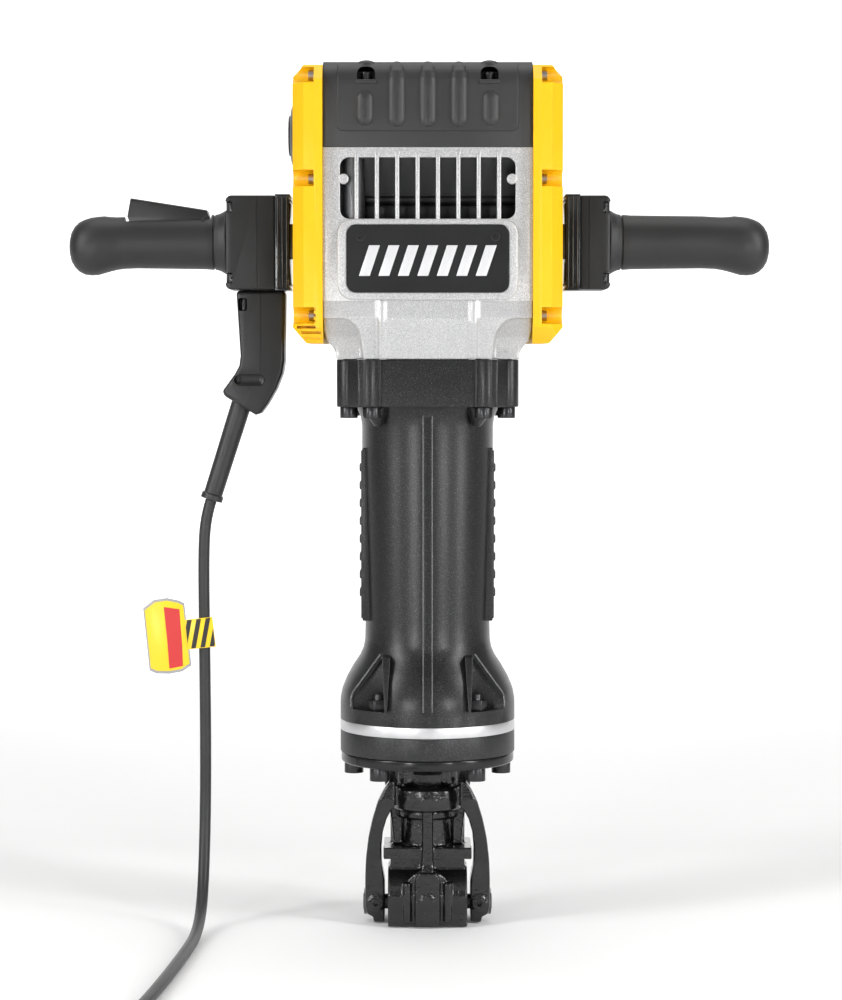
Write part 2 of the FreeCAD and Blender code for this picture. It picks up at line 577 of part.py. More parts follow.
def gear_train():
    # Each gear has a tooth where its mate has a gap on their line of centres.
    wheel = gear(45, 1.25, 64.5, 11, 0, 0.5)
    small = gear(11, 2, 47.5, 13)
    axle = Part.makeCylinder(value("shaftRadius"), 57, Vector(29, 0, 0), Vector(1, 0, 0))
    lay = wheel.fuse([small, axle]).removeSplitter()
    keep("layshaft_gear", free("layshaft_solid", lay, Vector(0, 0, value("layHeight"))))
    crank_wheel = gear(46, 2, 48, 12, value("crankShaftRadius"))
    keep("crank_gear", free("crank_gear_solid", crank_wheel, Vector(0, 0, value("crankHeight"))))
    centre = ("0", "crankHeight")
    journal = rod("crank_journal", "x", centre, ("21", "86"), "crankShaftRadius")
    web = rod("crank_web", "x", centre, ("10", "22"), "34")
    pin = rod("crank_pin", "x", ("0", "crankHeight + crankThrow"), ("-9", "11"), "9")
    keep("crankshaft", fuse("crankshaft_whole", journal, web, pin))
    rings = [ring_about_x("crank_bearing", span, "crankShaftRadius + running", "24", centre)
             for span in (("30", "40"), ("78.5", "85.5"))]
    rings += [ring_about_x("lay_bearing", span, "shaftRadius + running", "13", ("0", "layHeight"))
              for span in (("30", "40"), ("78.5", "85.5"))]
    rings += [ring_about_x("motor_bearing", span, "shaftRadius + running", "16", ("0", "motorHeight"))
              for span in (("-104", "-92"), ("30", "42"))]
    keep("shaft_bearings", group("shaft_bearing_set", rings))
    inner = box("bridge_inner", ("28", "42"), ("-60", "60"), ("593", "748"))
    outer = box("bridge_outer", ("78", "85.9"), ("-60", "60"), ("593", "712"))
    posts = [rod("bridge_post", "x", (y, z), ("41", "79"), "6")
             for y, z in (("-53", "598"), ("53", "598"), ("-53", "704"), ("53", "704"))]
    tools = [
        rod("bridge_crank_seat", "x", centre, ("27", "40"), "24"),
        rod("bridge_crank_way", "x", centre, ("39", "79"), "15"),
        rod("bridge_crank_end", "x", centre, ("77", "86.5"), "24"),
        rod("bridge_lay_seat", "x", ("0", "layHeight"), ("27", "40"), "13"),
        rod("bridge_lay_way", "x", ("0", "layHeight"), ("39", "43"), "10"),
        rod("bridge_lay_end", "x", ("0", "layHeight"), ("77", "86.5"), "13"),
        rod("bridge_motor_seat", "x", ("0", "motorHeight"), ("27", "43"), "16")]
    keep("bearing_bridge", cut("bridge_cut", fuse("bridge_solid", inner, outer, *posts), *tools))


def hammer_mechanism():
    small_end = "crankHeight + crankThrow - rodLength"
    shank = box("rod_shank", ("-6", "6"), ("-7", "7"), (small_end, "crankHeight + crankThrow"))
    big = rod("rod_big_end", "x", ("0", "crankHeight + crankThrow"), ("-8", "8"), "16")
    little = rod("rod_small_end", "x", ("0", small_end), ("-8", "8"), "8.5")
    holes = [rod("rod_big_eye", "x", ("0", "crankHeight + crankThrow"), ("-9", "9"), "9 + running"),
             rod("rod_small_eye", "x", ("0", small_end), ("-9", "9"), "5")]
    keep("connecting_rod", cut("rod_cut", fuse("rod_solid", shank, big, little), *holes))
    keep("wrist_pin", rod("wrist_pin_bar", "x", ("0", small_end), ("-13", "13"), "5"))
    fitted = "cylinderRadius - running"
    keep("piston", turned("piston_turned", "z", [
        ("0", "pistonLow"), (fitted, "pistonLow"), (fitted, "pistonLow + 6"),
        (fitted + " - 1.5", "pistonLow + 6"), (fitted + " - 1.5", "pistonLow + 9"),
        (fitted, "pistonLow + 9"),
        (fitted, "pistonTop"), ("28", "pistonTop"), ("28", "pistonLow + 10"), ("0", "pistonLow + 10")]))
    keep("ram", turned("ram_turned", "z", [
        ("0", "ramLow"), ("16", "ramLow"), ("18", "ramLow + 2"), ("18", "ramLow + 12"),
        (fitted, "ramLow + 16"),
        (fitted, "ramTop - 10"), (fitted + " - 1.5", "ramTop - 10"), (fitted + " - 1.5", "ramTop - 7"),
        (fitted, "ramTop - 7"), (fitted, "ramTop"), ("0", "ramTop")]))
    keep("beat_piece", turned("beat_turned", "z", [
        ("0", "ringLow + 2"), ("beatRadius - 4", "ringLow + 2"), ("beatRadius - running", "ringLow + 6"),
        ("beatRadius - running", "cylinderLow + 4"), ("28", "cylinderLow + 6"), ("28", "cylinderLow + 18"),
        ("16", "cylinderLow + 24"), ("16", "ramLow - 10"), ("0", "ramLow - 10")]))
    keep("cylinder_sleeve", turned("sleeve_turned", "z", [
        ("cylinderRadius", "cylinderLow"), ("cylinderOuter", "cylinderLow"), ("cylinderOuter", "floorTop"),
        ("cylinderOuter + 6", "floorTop"), ("cylinderOuter + 6", "floorTop + 8"),
        ("cylinderOuter", "floorTop + 8"), ("cylinderOuter", "cylinderTop"),
        ("cylinderRadius", "cylinderTop")]))
    keep("guide_bush", turned("bush_turned", "z", [
        ("beatRadius", "ringLow + 0.5"), ("44", "ringLow + 0.5"), ("44", "clampLow"),
        ("barrelBore - 0.1", "clampLow"), ("barrelBore - 0.1", "cylinderLow"),
        ("beatRadius", "cylinderLow")]))


# ---- sprung handles -------------------------------------------------------------------------

def guide_rods():
    keep("guide_rods", group("guide_rod_set", [
        rod("guide_rod", "z", ("%s * guideX" % end, "0"), ("571", "685"), "guideRadius - 0.02")
        for end in ("-1", "1")]))


def handle_bracket(label, end):
    wide = sorted(("%s * bracketInner" % end, "%s * bracketOuter" % end), key=value)
    face = box(label + "_face", wide, ("-bracketDepth", "bracketDepth"), ("blockLow", "blockHigh"))
    ribs = [box(label + "_rib", sorted(("%s * (bracketInner - 1.5)" % end, "%s * bracketInner" % end),
                                       key=value), ("-bracketDepth", "bracketDepth"), (low, low + " + 2.5"))
            for low in ("blockLow + 4", "blockHigh - 6.5")]
    arm = box(label + "_arm", sorted(("%s * 112" % end, "%s * bracketInner" % end), key=value),
              ("-armHalf", "armHalf"), ("handleHeight - armHalf", "handleHeight + armHalf"))
    hub = box(label + "_hub", sorted(("%s * 97" % end, "%s * 115" % end), key=value), ("-14", "14"),
              ("handleHeight - hubHalf", "handleHeight + hubHalf"))
    eye = rod(label + "_eye", "z", ("%s * guideX" % end, "0"),
              ("handleHeight - hubHalf - 1", "handleHeight + hubHalf + 1"), "guideRadius + running")
    keep(label, cut(label + "_cut", fuse(label + "_solid", face, arm, hub, *ribs), eye))


def block_screw_places(end, reach):
    return [("%s * (%s - 8)" % (end, reach), height) for height in ("blockLow + 11", "blockHigh - 11")]


def handle_block(label, end, reach):
    wide = sorted(("%s * bracketOuter" % end, "%s * %s" % (end, reach)), key=value)
    body = box(label + "_body", wide, ("-blockDepth", "blockDepth"), ("blockLow", "blockHigh"))
    soft = rounded(label + "_round", body, "5", along("x"))
    groove = []
    if reach == "leftBlockEnd":
        seam = sorted(("%s * (%s - 30)" % (end, reach), "%s * (%s - 29.2)" % (end, reach)), key=value)
        groove = [box(label + "_split", seam, sorted(("%s * 29" % back, "%s * 31" % back), key=value),
                      ("blockLow", "blockHigh")) for back in ("-1", "1")]
    pockets = []
    for place in block_screw_places(end, reach):
        pockets.append(rod(label + "_pocket", "y", place, ("-blockDepth - 1", "-blockDepth + 7"), "5"))
        pockets.append(rod(label + "_screw_way", "y", place, ("-blockDepth + 6", "blockDepth - 10"), "2.5"))
    keep(label, cut(label + "_cut", soft, *pockets, *groove))
    screws = [bolt(label + "_screw", "y", place, "-blockDepth + 7", ("4.5", "-4"), ("2.45", "-38"), "2.3")
              for place in block_screw_places(end, reach)]
    return screws


def grip_profile(end, start, length):
    """Points (x, radius) from the block's face out to the rounded end."""
    steps = [(0, "0"), (0, "30"), (3, "29.4"), (10.5, "gripRadius"), (length - 40, "gripRadius - 0.6"),
             (length - 30, "gripRadius - 1.2"), (length - 22, "gripBulb"), (length - 10, "gripBulb"),
             (length - 3, "gripBulb - 5"), (length, "gripBulb - 13"), (length, "0")]
    return [("%s * (%s + %s)" % (end, start, round(step, 2)), radius) for step, radius in steps]


def grips():
    skin = turned("left_grip_skin", "x", grip_profile("-1", "leftBlockEnd", 144.5), ("0", "handleHeight"))
    hollow = rod("left_grip_hollow", "x", ("0", "handleHeight"),
                 ("-leftBlockEnd - 130", "-leftBlockEnd - 12"), "gripHollow")
    slot = box("lever_slot", ("-277", "-198"), ("-leverDepth - 1", "leverDepth + 1"),
               ("handleHeight + 12", "handleHeight + 30"))
    pin_hole = rod("lever_pin_hole", "y", ("-leverPinX", "leverPinZ"), ("-30", "30"), "2")
    keep("grip_left", cut("left_grip_cut", skin, hollow, slot, pin_hole))
    right_skin = turned("right_grip_skin", "x", grip_profile("1", "rightBlockEnd", 147),
                        ("0", "handleHeight"))
    right_hollow = rod("right_grip_hollow", "x", ("0", "handleHeight"),
                       ("rightBlockEnd + 12", "rightBlockEnd + 130"), "gripHollow")
    keep("grip_right", cut("right_grip_cut", right_skin, right_hollow))


def trigger():
    lever = plate("lever_plate", "XZ", [
        ("-274", "651"), ("-271", "667.8"), ("-201.7", "657"), ("-199.5", "650.4"), ("-202", "643.5"),
        ("-209", "643.5"), ("-240", "646"), ("-272", "646")], ("-leverDepth", "leverDepth"))
    soft = rounded("lever_round", lever, "2.5", lambda start, end: min(start.z, end.z) > 656
                   and abs(start.y - end.y) < 0.01)
    eye = rod("lever_eye", "y", ("-leverPinX", "leverPinZ"), ("-20", "20"), "2 + running")
    keep("trigger_lever", cut("lever_cut", soft, eye))
    keep("lever_pin", rod("lever_pin_bar", "y", ("-leverPinX", "leverPinZ"), ("-15.9", "15.9"), "2"))
    case = box("switch_case", ("-266", "-238"), ("-8", "8"), ("handleHeight - 14", "handleHeight + 4"))
    button = rod("switch_button", "z", ("-258", "0"), ("handleHeight + 3", "handleHeight + 6.5"), "2.5")
    keep("micro_switch", fuse("switch_whole", case, button))


def cord_entry():
    duct = plate("duct_plate", "XZ", [
        ("-174.5", "blockLow"), ("-170.5", "524"), ("-173", "512"), ("-187.8", "490.6"), ("-154.7", "469.3"),
        ("-139", "492"), ("-130.8", "512"), ("-130.5", "524"), ("-130", "blockLow")], ("-20", "20"))
    soft = rounded("duct_round", duct, "6", lambda start, end: abs(start.z - end.z) > 50)
    screw_ways = [rod("duct_pocket", "y", place, ("-21", "-14"), "5") for place in (("-167", "566"),
                                                                                ("-152", "500"))]
    keep("cord_duct", cut("duct_cut", soft, *screw_ways))
    start, end = Vector(-171.2, 0, 480), Vector(-199.35, 0, 391.4)
    along_guard = (end - start).normalize()
    length = (end - start).Length
    sleeve = Part.makeCone(9.3, 8.6, length - 5, start, along_guard)
    flare = Part.makeCone(8.6, 10.2, 5, end - along_guard * 5, along_guard)
    keep("cord_guard", free("guard_solid", sleeve.fuse(flare).removeSplitter()))


def springs():
    for side, end in (("left", -1), ("right", 1)):
        for place, low, high in (("lower", 579.0, value("handleHeight - hubHalf")),
                                 ("upper", value("handleHeight + hubHalf"), 677.0)):
            wire = 1.2
            height = high - low - 2 * wire
            coil = Part.makeHelix(height / 4.5, height, 7.4)
            section = Part.Wire(Part.makeCircle(wire, Vector(7.4, 0, 0), Vector(0, 1, 0)))
            solid = Part.Wire(coil.Edges).makePipeShell([section], True, True)
            label = "spring_%s_%s" % (side, place)
            keep(label, free(label + "_solid", solid, Vector(end * value("guideX"), 0, low + wire)))


# ---- cord -----------------------------------------------------------------------------------

# From the guard's mouth straight down beside the hammer, then forward along the floor to the coil.
CORD_ROUTE = [
    (-199.5, 0, 391), (-204.6, 0, 375), (-206.6, 0, 342), (-206.2, 0.5, 276), (-205.2, 0, 160),
    (-206, -2, 84), (-206.5, -30, 22), (-207, -92, 5.3), (-211.5, -170, 5.3), (-218.6, -262, 5.3),
    (-227.1, -350, 5.3), (-236.4, -424, 5.3), (-248.7, -482, 5.3), (-264.5, -526, 5.3),
]


def rounded_path(route):
    """Straight runs joined by tangent arcs, each as large as its two runs allow."""
    points = [Vector(*point) for point in route]
    edges, last = [], points[0]
    for before, corner, after in zip(points, points[1:], points[2:]):
        inward, onward = (corner - before), (after - corner)
        half = inward.getAngle(onward) / 2
        reach = 0.45 * min(inward.Length, onward.Length)
        inward.normalize()
        onward.normalize()
        start, finish = corner - inward * reach, corner + onward * reach
        radius = reach / math.tan(half)
        middle_way = (onward - inward).normalize()
        middle = corner + middle_way * (radius / math.cos(half) - radius)
        edges.append(Part.LineSegment(last, start).toShape())
        edges.append(Part.Arc(start, middle, finish).toShape())
        print("cord bend radius %.0f mm, turn %.0f degrees" % (radius, math.degrees(2 * half)))
        last = finish
    edges.append(Part.LineSegment(last, points[-1]).toShape())
    return Part.Wire(edges)


def cord():
    path = rounded_path(CORD_ROUTE)
    first = Vector(*CORD_ROUTE[1]) - Vector(*CORD_ROUTE[0])
    section = Part.Wire(Part.makeCircle(value("cordRadius"), Vector(*CORD_ROUTE[0]), first))
    tube = path.makePipeShell([section], True, False)
    print("cord lead length %.0f mm, volume ratio %.4f" % (
        path.Length, tube.Volume / (path.Length * math.pi * value("cordRadius") ** 2)))
    keep("cord_lead", free("cord_lead_solid", tube))
    centre = ("coilX", "coilY")
    keep("cord_coil", turned("coil_turned", "z", [
        ("coilInner", "tieThick + 3"), ("coilInner + 3", "tieThick"), ("coilOuter - 3", "tieThick"),
        ("coilOuter", "tieThick + 3"), ("coilOuter", "coilHeight - 2"), ("coilOuter - 3", "coilHeight + 1"),
        ("coilInner + 3", "coilHeight + 1"), ("coilInner", "coilHeight - 2")], centre))
    around = box("tie_outer", ("coilX + coilInner - tieThick - 0.8", "coilX + coilOuter + tieThick + 0.2"),
                 ("coilY - 6", "coilY + 6"), ("0", "coilHeight + 1 + tieThick"))
    inside = box("tie_inner", ("coilX + coilInner - 0.8", "coilX + coilOuter + 0.2"),
                 ("coilY - 7", "coilY + 7"), ("tieThick", "coilHeight + 1"))
    keep("cord_tie", cut("tie_cut", around, inside))
    low = "coilHeight + 1 + tieThick + 0.3"
    shell = box("plug_body", ("coilX - 8", "coilX + 36"), ("coilY - 79", "coilY - 41"),
                (low, low + " + 30"))
    soft = rounded("plug_round", shell, "7", along("x"))
    pins = [rod("plug_pin", "x", (y, low + " + 15"), ("coilX + 35", "coilX + 55"), "2.4")
            for y in ("coilY - 69.5", "coilY - 50.5")]
    keep("cord_plug", fuse("plug_whole", soft, *pins))


def tag():
    card = plate("tag_card", "XZ", [
        ("-262.1", "291.8"), ("-252", "299.5"), ("-240", "301.3"), ("-229", "299"), ("-224", "296.5"),
        ("-217.8", "239"), ("-226", "233.5"), ("-238", "231.3"), ("-250", "231.6"), ("-256.2", "234.3")],
        ("-7.2", "-6.4"))
    strap = plate("tag_strap", "XZ", [
        ("-224", "281.2"), ("-198.2", "283.9"), ("-195", "256.4"), ("-221", "253.7")], ("-8.0", "-7.2"))
    keep("cord_tag", fuse("tag_whole", card, strap))


# ---- the whole hammer -----------------------------------------------------------------------

main_housing()
top_cover()
side_cover("side_cover_left", "-1", True)
side_cover("side_cover_right", "1", False)
side_cover_screws()
badge()
barrel_housing()
flange_nuts()
front_rings()
nose_casting()
latch()
motor()
gear_train()
hammer_mechanism()
guide_rods()
handle_bracket("handle_bracket_left", "-1")
handle_bracket("handle_bracket_right", "1")
left_screws = handle_block("handle_block_left", "-1", "leftBlockEnd")
right_screws = handle_block("handle_block_right", "1", "rightBlockEnd")
keep("block_screws_left", group("left_screw_set", left_screws))
keep("block_screws_right", group("right_screw_set", right_screws))
grips()
trigger()
cord_entry()
springs()
cord()
tag()
document.recompute()

problems = ["%s %s" % (thing.Label, thing.State) for thing in document.Objects
            if "Invalid" in thing.State or "Error" in thing.State]
for label, thing in pieces.items():
    if thing.Shape.isNull() or not thing.Shape.isValid() or thing.Shape.Volume < 1:
        problems.append(label + " has no valid solid")
if problems:
    raise RuntimeError("; ".join(problems))

os.makedirs("parts", exist_ok=True)
for label, thing in pieces.items():
    thing.Shape.exportStep("parts/%s.step" % label)
print("%d sub-parts written" % len(pieces))
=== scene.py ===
import json
import math
import bmesh
import bpy
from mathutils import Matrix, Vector

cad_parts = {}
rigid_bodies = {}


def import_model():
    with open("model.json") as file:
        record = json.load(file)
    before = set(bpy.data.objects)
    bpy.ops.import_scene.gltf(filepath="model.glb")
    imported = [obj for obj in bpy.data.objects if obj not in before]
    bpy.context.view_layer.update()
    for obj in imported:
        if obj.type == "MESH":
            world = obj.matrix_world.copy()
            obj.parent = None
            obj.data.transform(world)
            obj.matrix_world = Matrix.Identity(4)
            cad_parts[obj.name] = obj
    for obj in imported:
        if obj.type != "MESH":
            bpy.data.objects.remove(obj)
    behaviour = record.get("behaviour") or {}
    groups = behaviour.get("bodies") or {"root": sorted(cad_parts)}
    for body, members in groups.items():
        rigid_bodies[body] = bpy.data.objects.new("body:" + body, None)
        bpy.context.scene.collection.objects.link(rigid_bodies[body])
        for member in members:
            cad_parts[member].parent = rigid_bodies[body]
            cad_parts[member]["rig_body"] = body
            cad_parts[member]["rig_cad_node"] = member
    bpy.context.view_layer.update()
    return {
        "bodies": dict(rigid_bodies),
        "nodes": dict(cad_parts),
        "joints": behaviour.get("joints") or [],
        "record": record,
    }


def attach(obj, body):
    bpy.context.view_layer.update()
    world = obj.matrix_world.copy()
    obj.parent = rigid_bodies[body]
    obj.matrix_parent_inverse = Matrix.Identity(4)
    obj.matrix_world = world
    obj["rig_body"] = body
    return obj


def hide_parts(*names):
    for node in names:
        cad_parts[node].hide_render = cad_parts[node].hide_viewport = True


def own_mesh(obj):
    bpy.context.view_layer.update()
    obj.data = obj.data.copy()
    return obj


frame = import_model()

mm = 0.001
nodes = frame["nodes"]
X, Y, Z = Vector((1, 0, 0)), Vector((0, 1, 0)), Vector((0, 0, 1))


# the camera and the cord come first, so that the cord's room is measured against the real view
camera = {"place": (-6, -2560, 521), "pitch": 2.9, "lens": 100.1}
studio = {"floor": 0.84, "world": 0.2, "key": 5.5, "side": 30, "top": 22, "kick": 7, "glow": 0.05,
    "far": 0.85}


def makeCamera():
    bpy.ops.object.camera_add(location=Vector(camera["place"]) * mm,
            rotation=(math.radians(90 - camera["pitch"]), 0, 0))
    eye = bpy.context.object
    eye.data.lens = camera["lens"]
    eye.data.sensor_width = 36
    eye.data.clip_end = 60
    bpy.context.scene.camera = eye


def areaLight(name, place, aim, size, power):
    bpy.ops.object.light_add(type="AREA", location=place)
    lamp = bpy.context.object
    lamp.name = name
    lamp.data.shape = "RECTANGLE"
    lamp.data.size, lamp.data.size_y = size
    lamp.data.energy = power
    lamp.rotation_euler = (Vector(aim) - Vector(place)).to_track_quat("-Z", "Y").to_euler()


def makeStudio():
    # a floor that curves up into a backdrop well behind the hammer
    bpy.ops.mesh.primitive_plane_add(size=1, location=(0, 1.0, 0))
    floor = bpy.context.object
    floor.name = "studioFloor"
    bpy.ops.object.mode_set(mode="EDIT")
    markAll("SELECT")
    bpy.ops.transform.resize(value=(14, 9, 1))
    markAll("DESELECT")
    choose("EDGE", lambda edge: centreOf(edge).y > 4.4)
    for angle in range(10, 91, 16):
        bpy.ops.mesh.extrude_region_move(TRANSFORM_OT_translate={"value": (0,
                0.6 * math.cos(math.radians(angle)), 0.6 * math.sin(math.radians(angle)))})
    bpy.ops.mesh.extrude_region_move(TRANSFORM_OT_translate={"value": (0, 0, 5)})
    bpy.ops.object.mode_set(mode="OBJECT")
    bpy.ops.object.transform_apply(location=True, rotation=True, scale=True)
    bpy.ops.object.shade_smooth()
    floor.data.materials.append(studioWhite())
    world = bpy.data.worlds.new("studioAir")
    world.use_nodes = True
    world.node_tree.nodes["Background"].inputs["Color"].default_value = (1, 1, 1, 1)
    world.node_tree.nodes["Background"].inputs["Strength"].default_value = studio["world"]
    bpy.context.scene.world = world
    areaLight("keyLeft", (-1.75, -1.1, 1.25), (0, 0, 0.42), (0.34, 2.0), studio["side"])
    areaLight("keyRight", (1.75, -1.0, 1.15), (0, 0, 0.42), (0.3, 2.0), studio["side"])
    areaLight("kickLeft", (-0.75, -1.7, 0.42), (0, 0, 0.12), (0.16, 0.5), studio["kick"])
    areaLight("kickRight", (0.85, -1.6, 0.5), (0, 0, 0.12), (0.14, 0.5), studio["kick"])
    areaLight("frontSoft", (0, -2.9, 1.9), (0, 0, 0.5), (2.4, 1.2), studio["key"])
    areaLight("topSoft", (0, 0.3, 2.6), (0, 0, 0.4), (2.2, 1.6), studio["top"])
    bpy.context.scene.view_settings.view_transform = "Standard"


def centreOf(thing):
    if hasattr(thing, "calc_center_median"):
        return thing.calc_center_median()
    if hasattr(thing, "verts"):
        return sum((vertex.co for vertex in thing.verts), Vector()) / len(thing.verts)
    return thing.co


def choose(kind, test):
    # selects the vertices, edges or faces of the edited mesh that pass the test
    bpy.ops.mesh.select_mode(type=kind)
    mesh = bmesh.from_edit_mesh(bpy.context.object.data)
    mesh.normal_update()
    for thing in {"VERT": mesh.verts, "EDGE": mesh.edges, "FACE": mesh.faces}[kind]:
        thing.select_set(bool(test(thing)))
    mesh.select_flush_mode()
    bmesh.update_edit_mesh(bpy.context.object.data)


def markAll(action):
    bpy.ops.mesh.select_all(action=action)


def only(piece):
    bpy.ops.object.select_all(action="DESELECT")
    piece.select_set(True)
    bpy.context.view_layer.objects.active = piece


def editOn(piece):
    only(piece)
    bpy.ops.object.mode_set(mode="EDIT")
    markAll("DESELECT")


def editOff():
    bpy.ops.object.mode_set(mode="OBJECT")


def applied(piece):
    only(piece)
    bpy.ops.object.transform_apply(location=True, rotation=True, scale=True)
    return piece


def fresh(name):
    # the primitive just added, named and with its scale applied
    piece = bpy.context.object
    piece.name = name
    return applied(piece)


def block(name, low, high, bevel=0, segments=3):
    low, high = Vector(low) * mm, Vector(high) * mm
    low, high = Vector(map(min, low, high)), Vector(map(max, low, high))
    bpy.ops.mesh.primitive_cube_add(size=1, location=(low + high) / 2, scale=high - low)
    piece = fresh(name)
    if bevel:
        roundEdges(piece, bevel, segments)
    return piece


def bar(name, start, end, radius, sides=40, bevel=0, topRadius=None):
    # a round bar from start to end, in millimetres, or a cone with topRadius
    start, end = Vector(start) * mm, Vector(end) * mm
    turn = (end - start).to_track_quat("Z", "Y").to_euler()
    bpy.ops.mesh.primitive_cone_add(vertices=sides, radius1=radius * mm,
            radius2=(radius if topRadius is None else topRadius) * mm, depth=(end - start).length,
            location=(start + end) / 2, rotation=turn)
    piece = fresh(name)
    if bevel:
        roundEdges(piece, bevel, 3)
    return piece


def ball(name, centre, radii):
    bpy.ops.mesh.primitive_uv_sphere_add(segments=32, ring_count=20, radius=1, location=Vector(centre) * mm,
            scale=Vector(radii) * mm)
    return fresh(name)


def chain(name, points):
    # one vertex, extruded along the points
    bpy.ops.mesh.primitive_plane_add(size=mm, location=Vector(points[0]) * mm)
    piece = fresh(name)
    bpy.ops.object.mode_set(mode="EDIT")
    bpy.ops.mesh.select_mode(type="VERT")
    markAll("SELECT")
    bpy.ops.mesh.merge(type="CENTER")
    for before, after in zip(points, points[1:]):
        step = (Vector(after) - Vector(before)) * mm
        bpy.ops.mesh.extrude_region_move(TRANSFORM_OT_translate={"value": step})
    return piece


def closeUp():
    # turns every face outward and leaves edit mode
    markAll("SELECT")
    bpy.ops.mesh.normals_make_consistent(inside=False)
    editOff()


def drawn(name, points, depth, bevel=0, segments=3):
    # a closed outline, filled and extruded by the depth vector
    piece = chain(name, points)
    markAll("SELECT")
    bpy.ops.mesh.edge_face_add()
    bpy.ops.mesh.extrude_region_move(TRANSFORM_OT_translate={"value": Vector(depth) * mm})
    closeUp()
    if bevel:
        roundEdges(piece, bevel, segments)
    return piece


def turned(name, profile, axis="Z", centre=(0, 0, 0), steps=96, closed=True):
    # spins (radius, height) points about an axis through the centre
    place = Vector(centre)
    if axis == "Z":
        points = [place + Vector((radius, 0, height)) for radius, height in profile]
    else:
        points = [place + Vector((height, 0, radius)) for radius, height in profile]
    if closed:
        points = points + points[:1]
    piece = chain(name, points)
    markAll("SELECT")
    bpy.ops.mesh.spin(steps=steps, angle=math.tau, center=place * mm, axis=Z if axis == "Z" else X)
    markAll("SELECT")
    bpy.ops.mesh.remove_doubles(threshold=0.00001)
    closeUp()
    return piece


def modify(piece, kind, **settings):
    only(piece)
    modifier = piece.modifiers.new(kind.title(), kind)
    for key, setting in settings.items():
        setattr(modifier, key, setting)
    bpy.ops.object.modifier_apply(modifier=modifier.name)


def roundEdges(piece, width, segments=3, angle=30):
    modify(piece, "BEVEL", width=width * mm, segments=segments, limit_method="ANGLE",
            angle_limit=math.radians(angle), use_clamp_overlap=True, miter_outer="MITER_ARC")


def merged(pieces):
    # joins finished pieces into the first, as loose parts of one mesh
    bpy.ops.object.select_all(action="DESELECT")
    for piece in pieces:
        piece.select_set(True)
    bpy.context.view_layer.objects.active = pieces[0]
    if len(pieces) > 1:
        bpy.ops.object.join()
    return bpy.context.object


def carve(piece, tools, how="DIFFERENCE", overlapping=False):
    tool = merged(tools)
    modify(piece, "BOOLEAN", operation=how, solver="EXACT", object=tool, use_self=overlapping)
    bpy.data.objects.remove(tool, do_unlink=True)
    return piece


def mirroredCopy(piece, name):
    only(piece)
    bpy.ops.object.duplicate()
    twin = bpy.context.object
    twin.name = name
    twin.scale.y = -1
    applied(twin)
    editOn(twin)
    closeUp()
    return twin


def bothSides(pieces):
    # each piece and its mirror image at the back
    return pieces + [mirroredCopy(piece, piece.name + "Twin") for piece in pieces]


def castSkin(piece, voxel, passes):
    # melts the joined solids into one rounded casting
    modify(piece, "REMESH", mode="VOXEL", voxel_size=voxel * mm)
    modify(piece, "SMOOTH", factor=0.5, iterations=passes)


def copyOfNode(node, name):
    only(nodes[node])
    bpy.ops.object.duplicate()
    piece = bpy.context.object
    piece.name = name
    piece.parent = None
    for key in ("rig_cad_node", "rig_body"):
        if key in piece:
            del piece[key]
    editOn(piece)
    markAll("SELECT")
    bpy.ops.mesh.remove_doubles(threshold=0.000005)
    bpy.ops.mesh.dissolve_limited(angle_limit=math.radians(1.5))
    editOff()
    piece.data.materials.clear()
    return piece


def dress(piece, finish):
    piece.data.materials.clear()
    piece.data.materials.append(finishes[finish])


def settle(piece, name, body, finish, replaced=(), angle=38):
    piece.name = name
    piece.data.name = name
    only(piece)
    bpy.ops.object.shade_smooth_by_angle(angle=math.radians(angle))
    dress(piece, finish)
    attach(piece, body)
    if replaced:
        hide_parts(*replaced)
    return piece


def slabXZ(name, points, low, high, bevel=0, segments=3):
    low, high = sorted((low, high))
    return drawn(name, [(x, low, z) for x, z in points], (0, high - low, 0), bevel, segments)


def slabYZ(name, points, low, high, bevel=0, segments=3):
    low, high = sorted((low, high))
    return drawn(name, [(low, y, z) for y, z in points], (high - low, 0, 0), bevel, segments)


def slabXY(name, points, low, high, bevel=0, segments=3):
    low, high = sorted((low, high))
    return drawn(name, [(x, y, low) for x, y in points], (0, 0, high - low), bevel, segments)


def flipped(points, side):
    # an outline as it is (side 1) or mirrored (side -1)
    return [(side * across, along) for across, along in points]


def bothWays(points):
    # an outline given on its right half, closed by its mirror image
    return points + flipped(reversed(points), -1)


def arc(centre, radius, start, end, steps):
    turns = [math.radians(start + (end - start) * step / steps) for step in range(steps + 1)]
    return [(centre[0] + radius * math.cos(turn), centre[1] + radius * math.sin(turn)) for turn in turns]


def softenAlong(piece, axis, radius, segments=6, test=None):
    # rounds the straight edges that run along one axis
    way = {"X": X, "Y": Y, "Z": Z}[axis]
    editOn(piece)
    choose("EDGE", lambda edge: abs((edge.verts[1].co - edge.verts[0].co).normalized().dot(way)) > 0.999 and
            (test is None or test(centreOf(edge) / mm)))
    bpy.ops.mesh.bevel(offset=radius * mm, segments=segments, affect="EDGES")
    editOff()
    return piece


def pill(name, points, radius):
    # a round-ended rod along a bent path
    parts = [bar(name, before, after, radius, 32) for before, after in zip(points, points[1:])]
    parts += [ball(name + "Knee", point, (radius, radius, radius)) for point in points]
    return merged(parts)


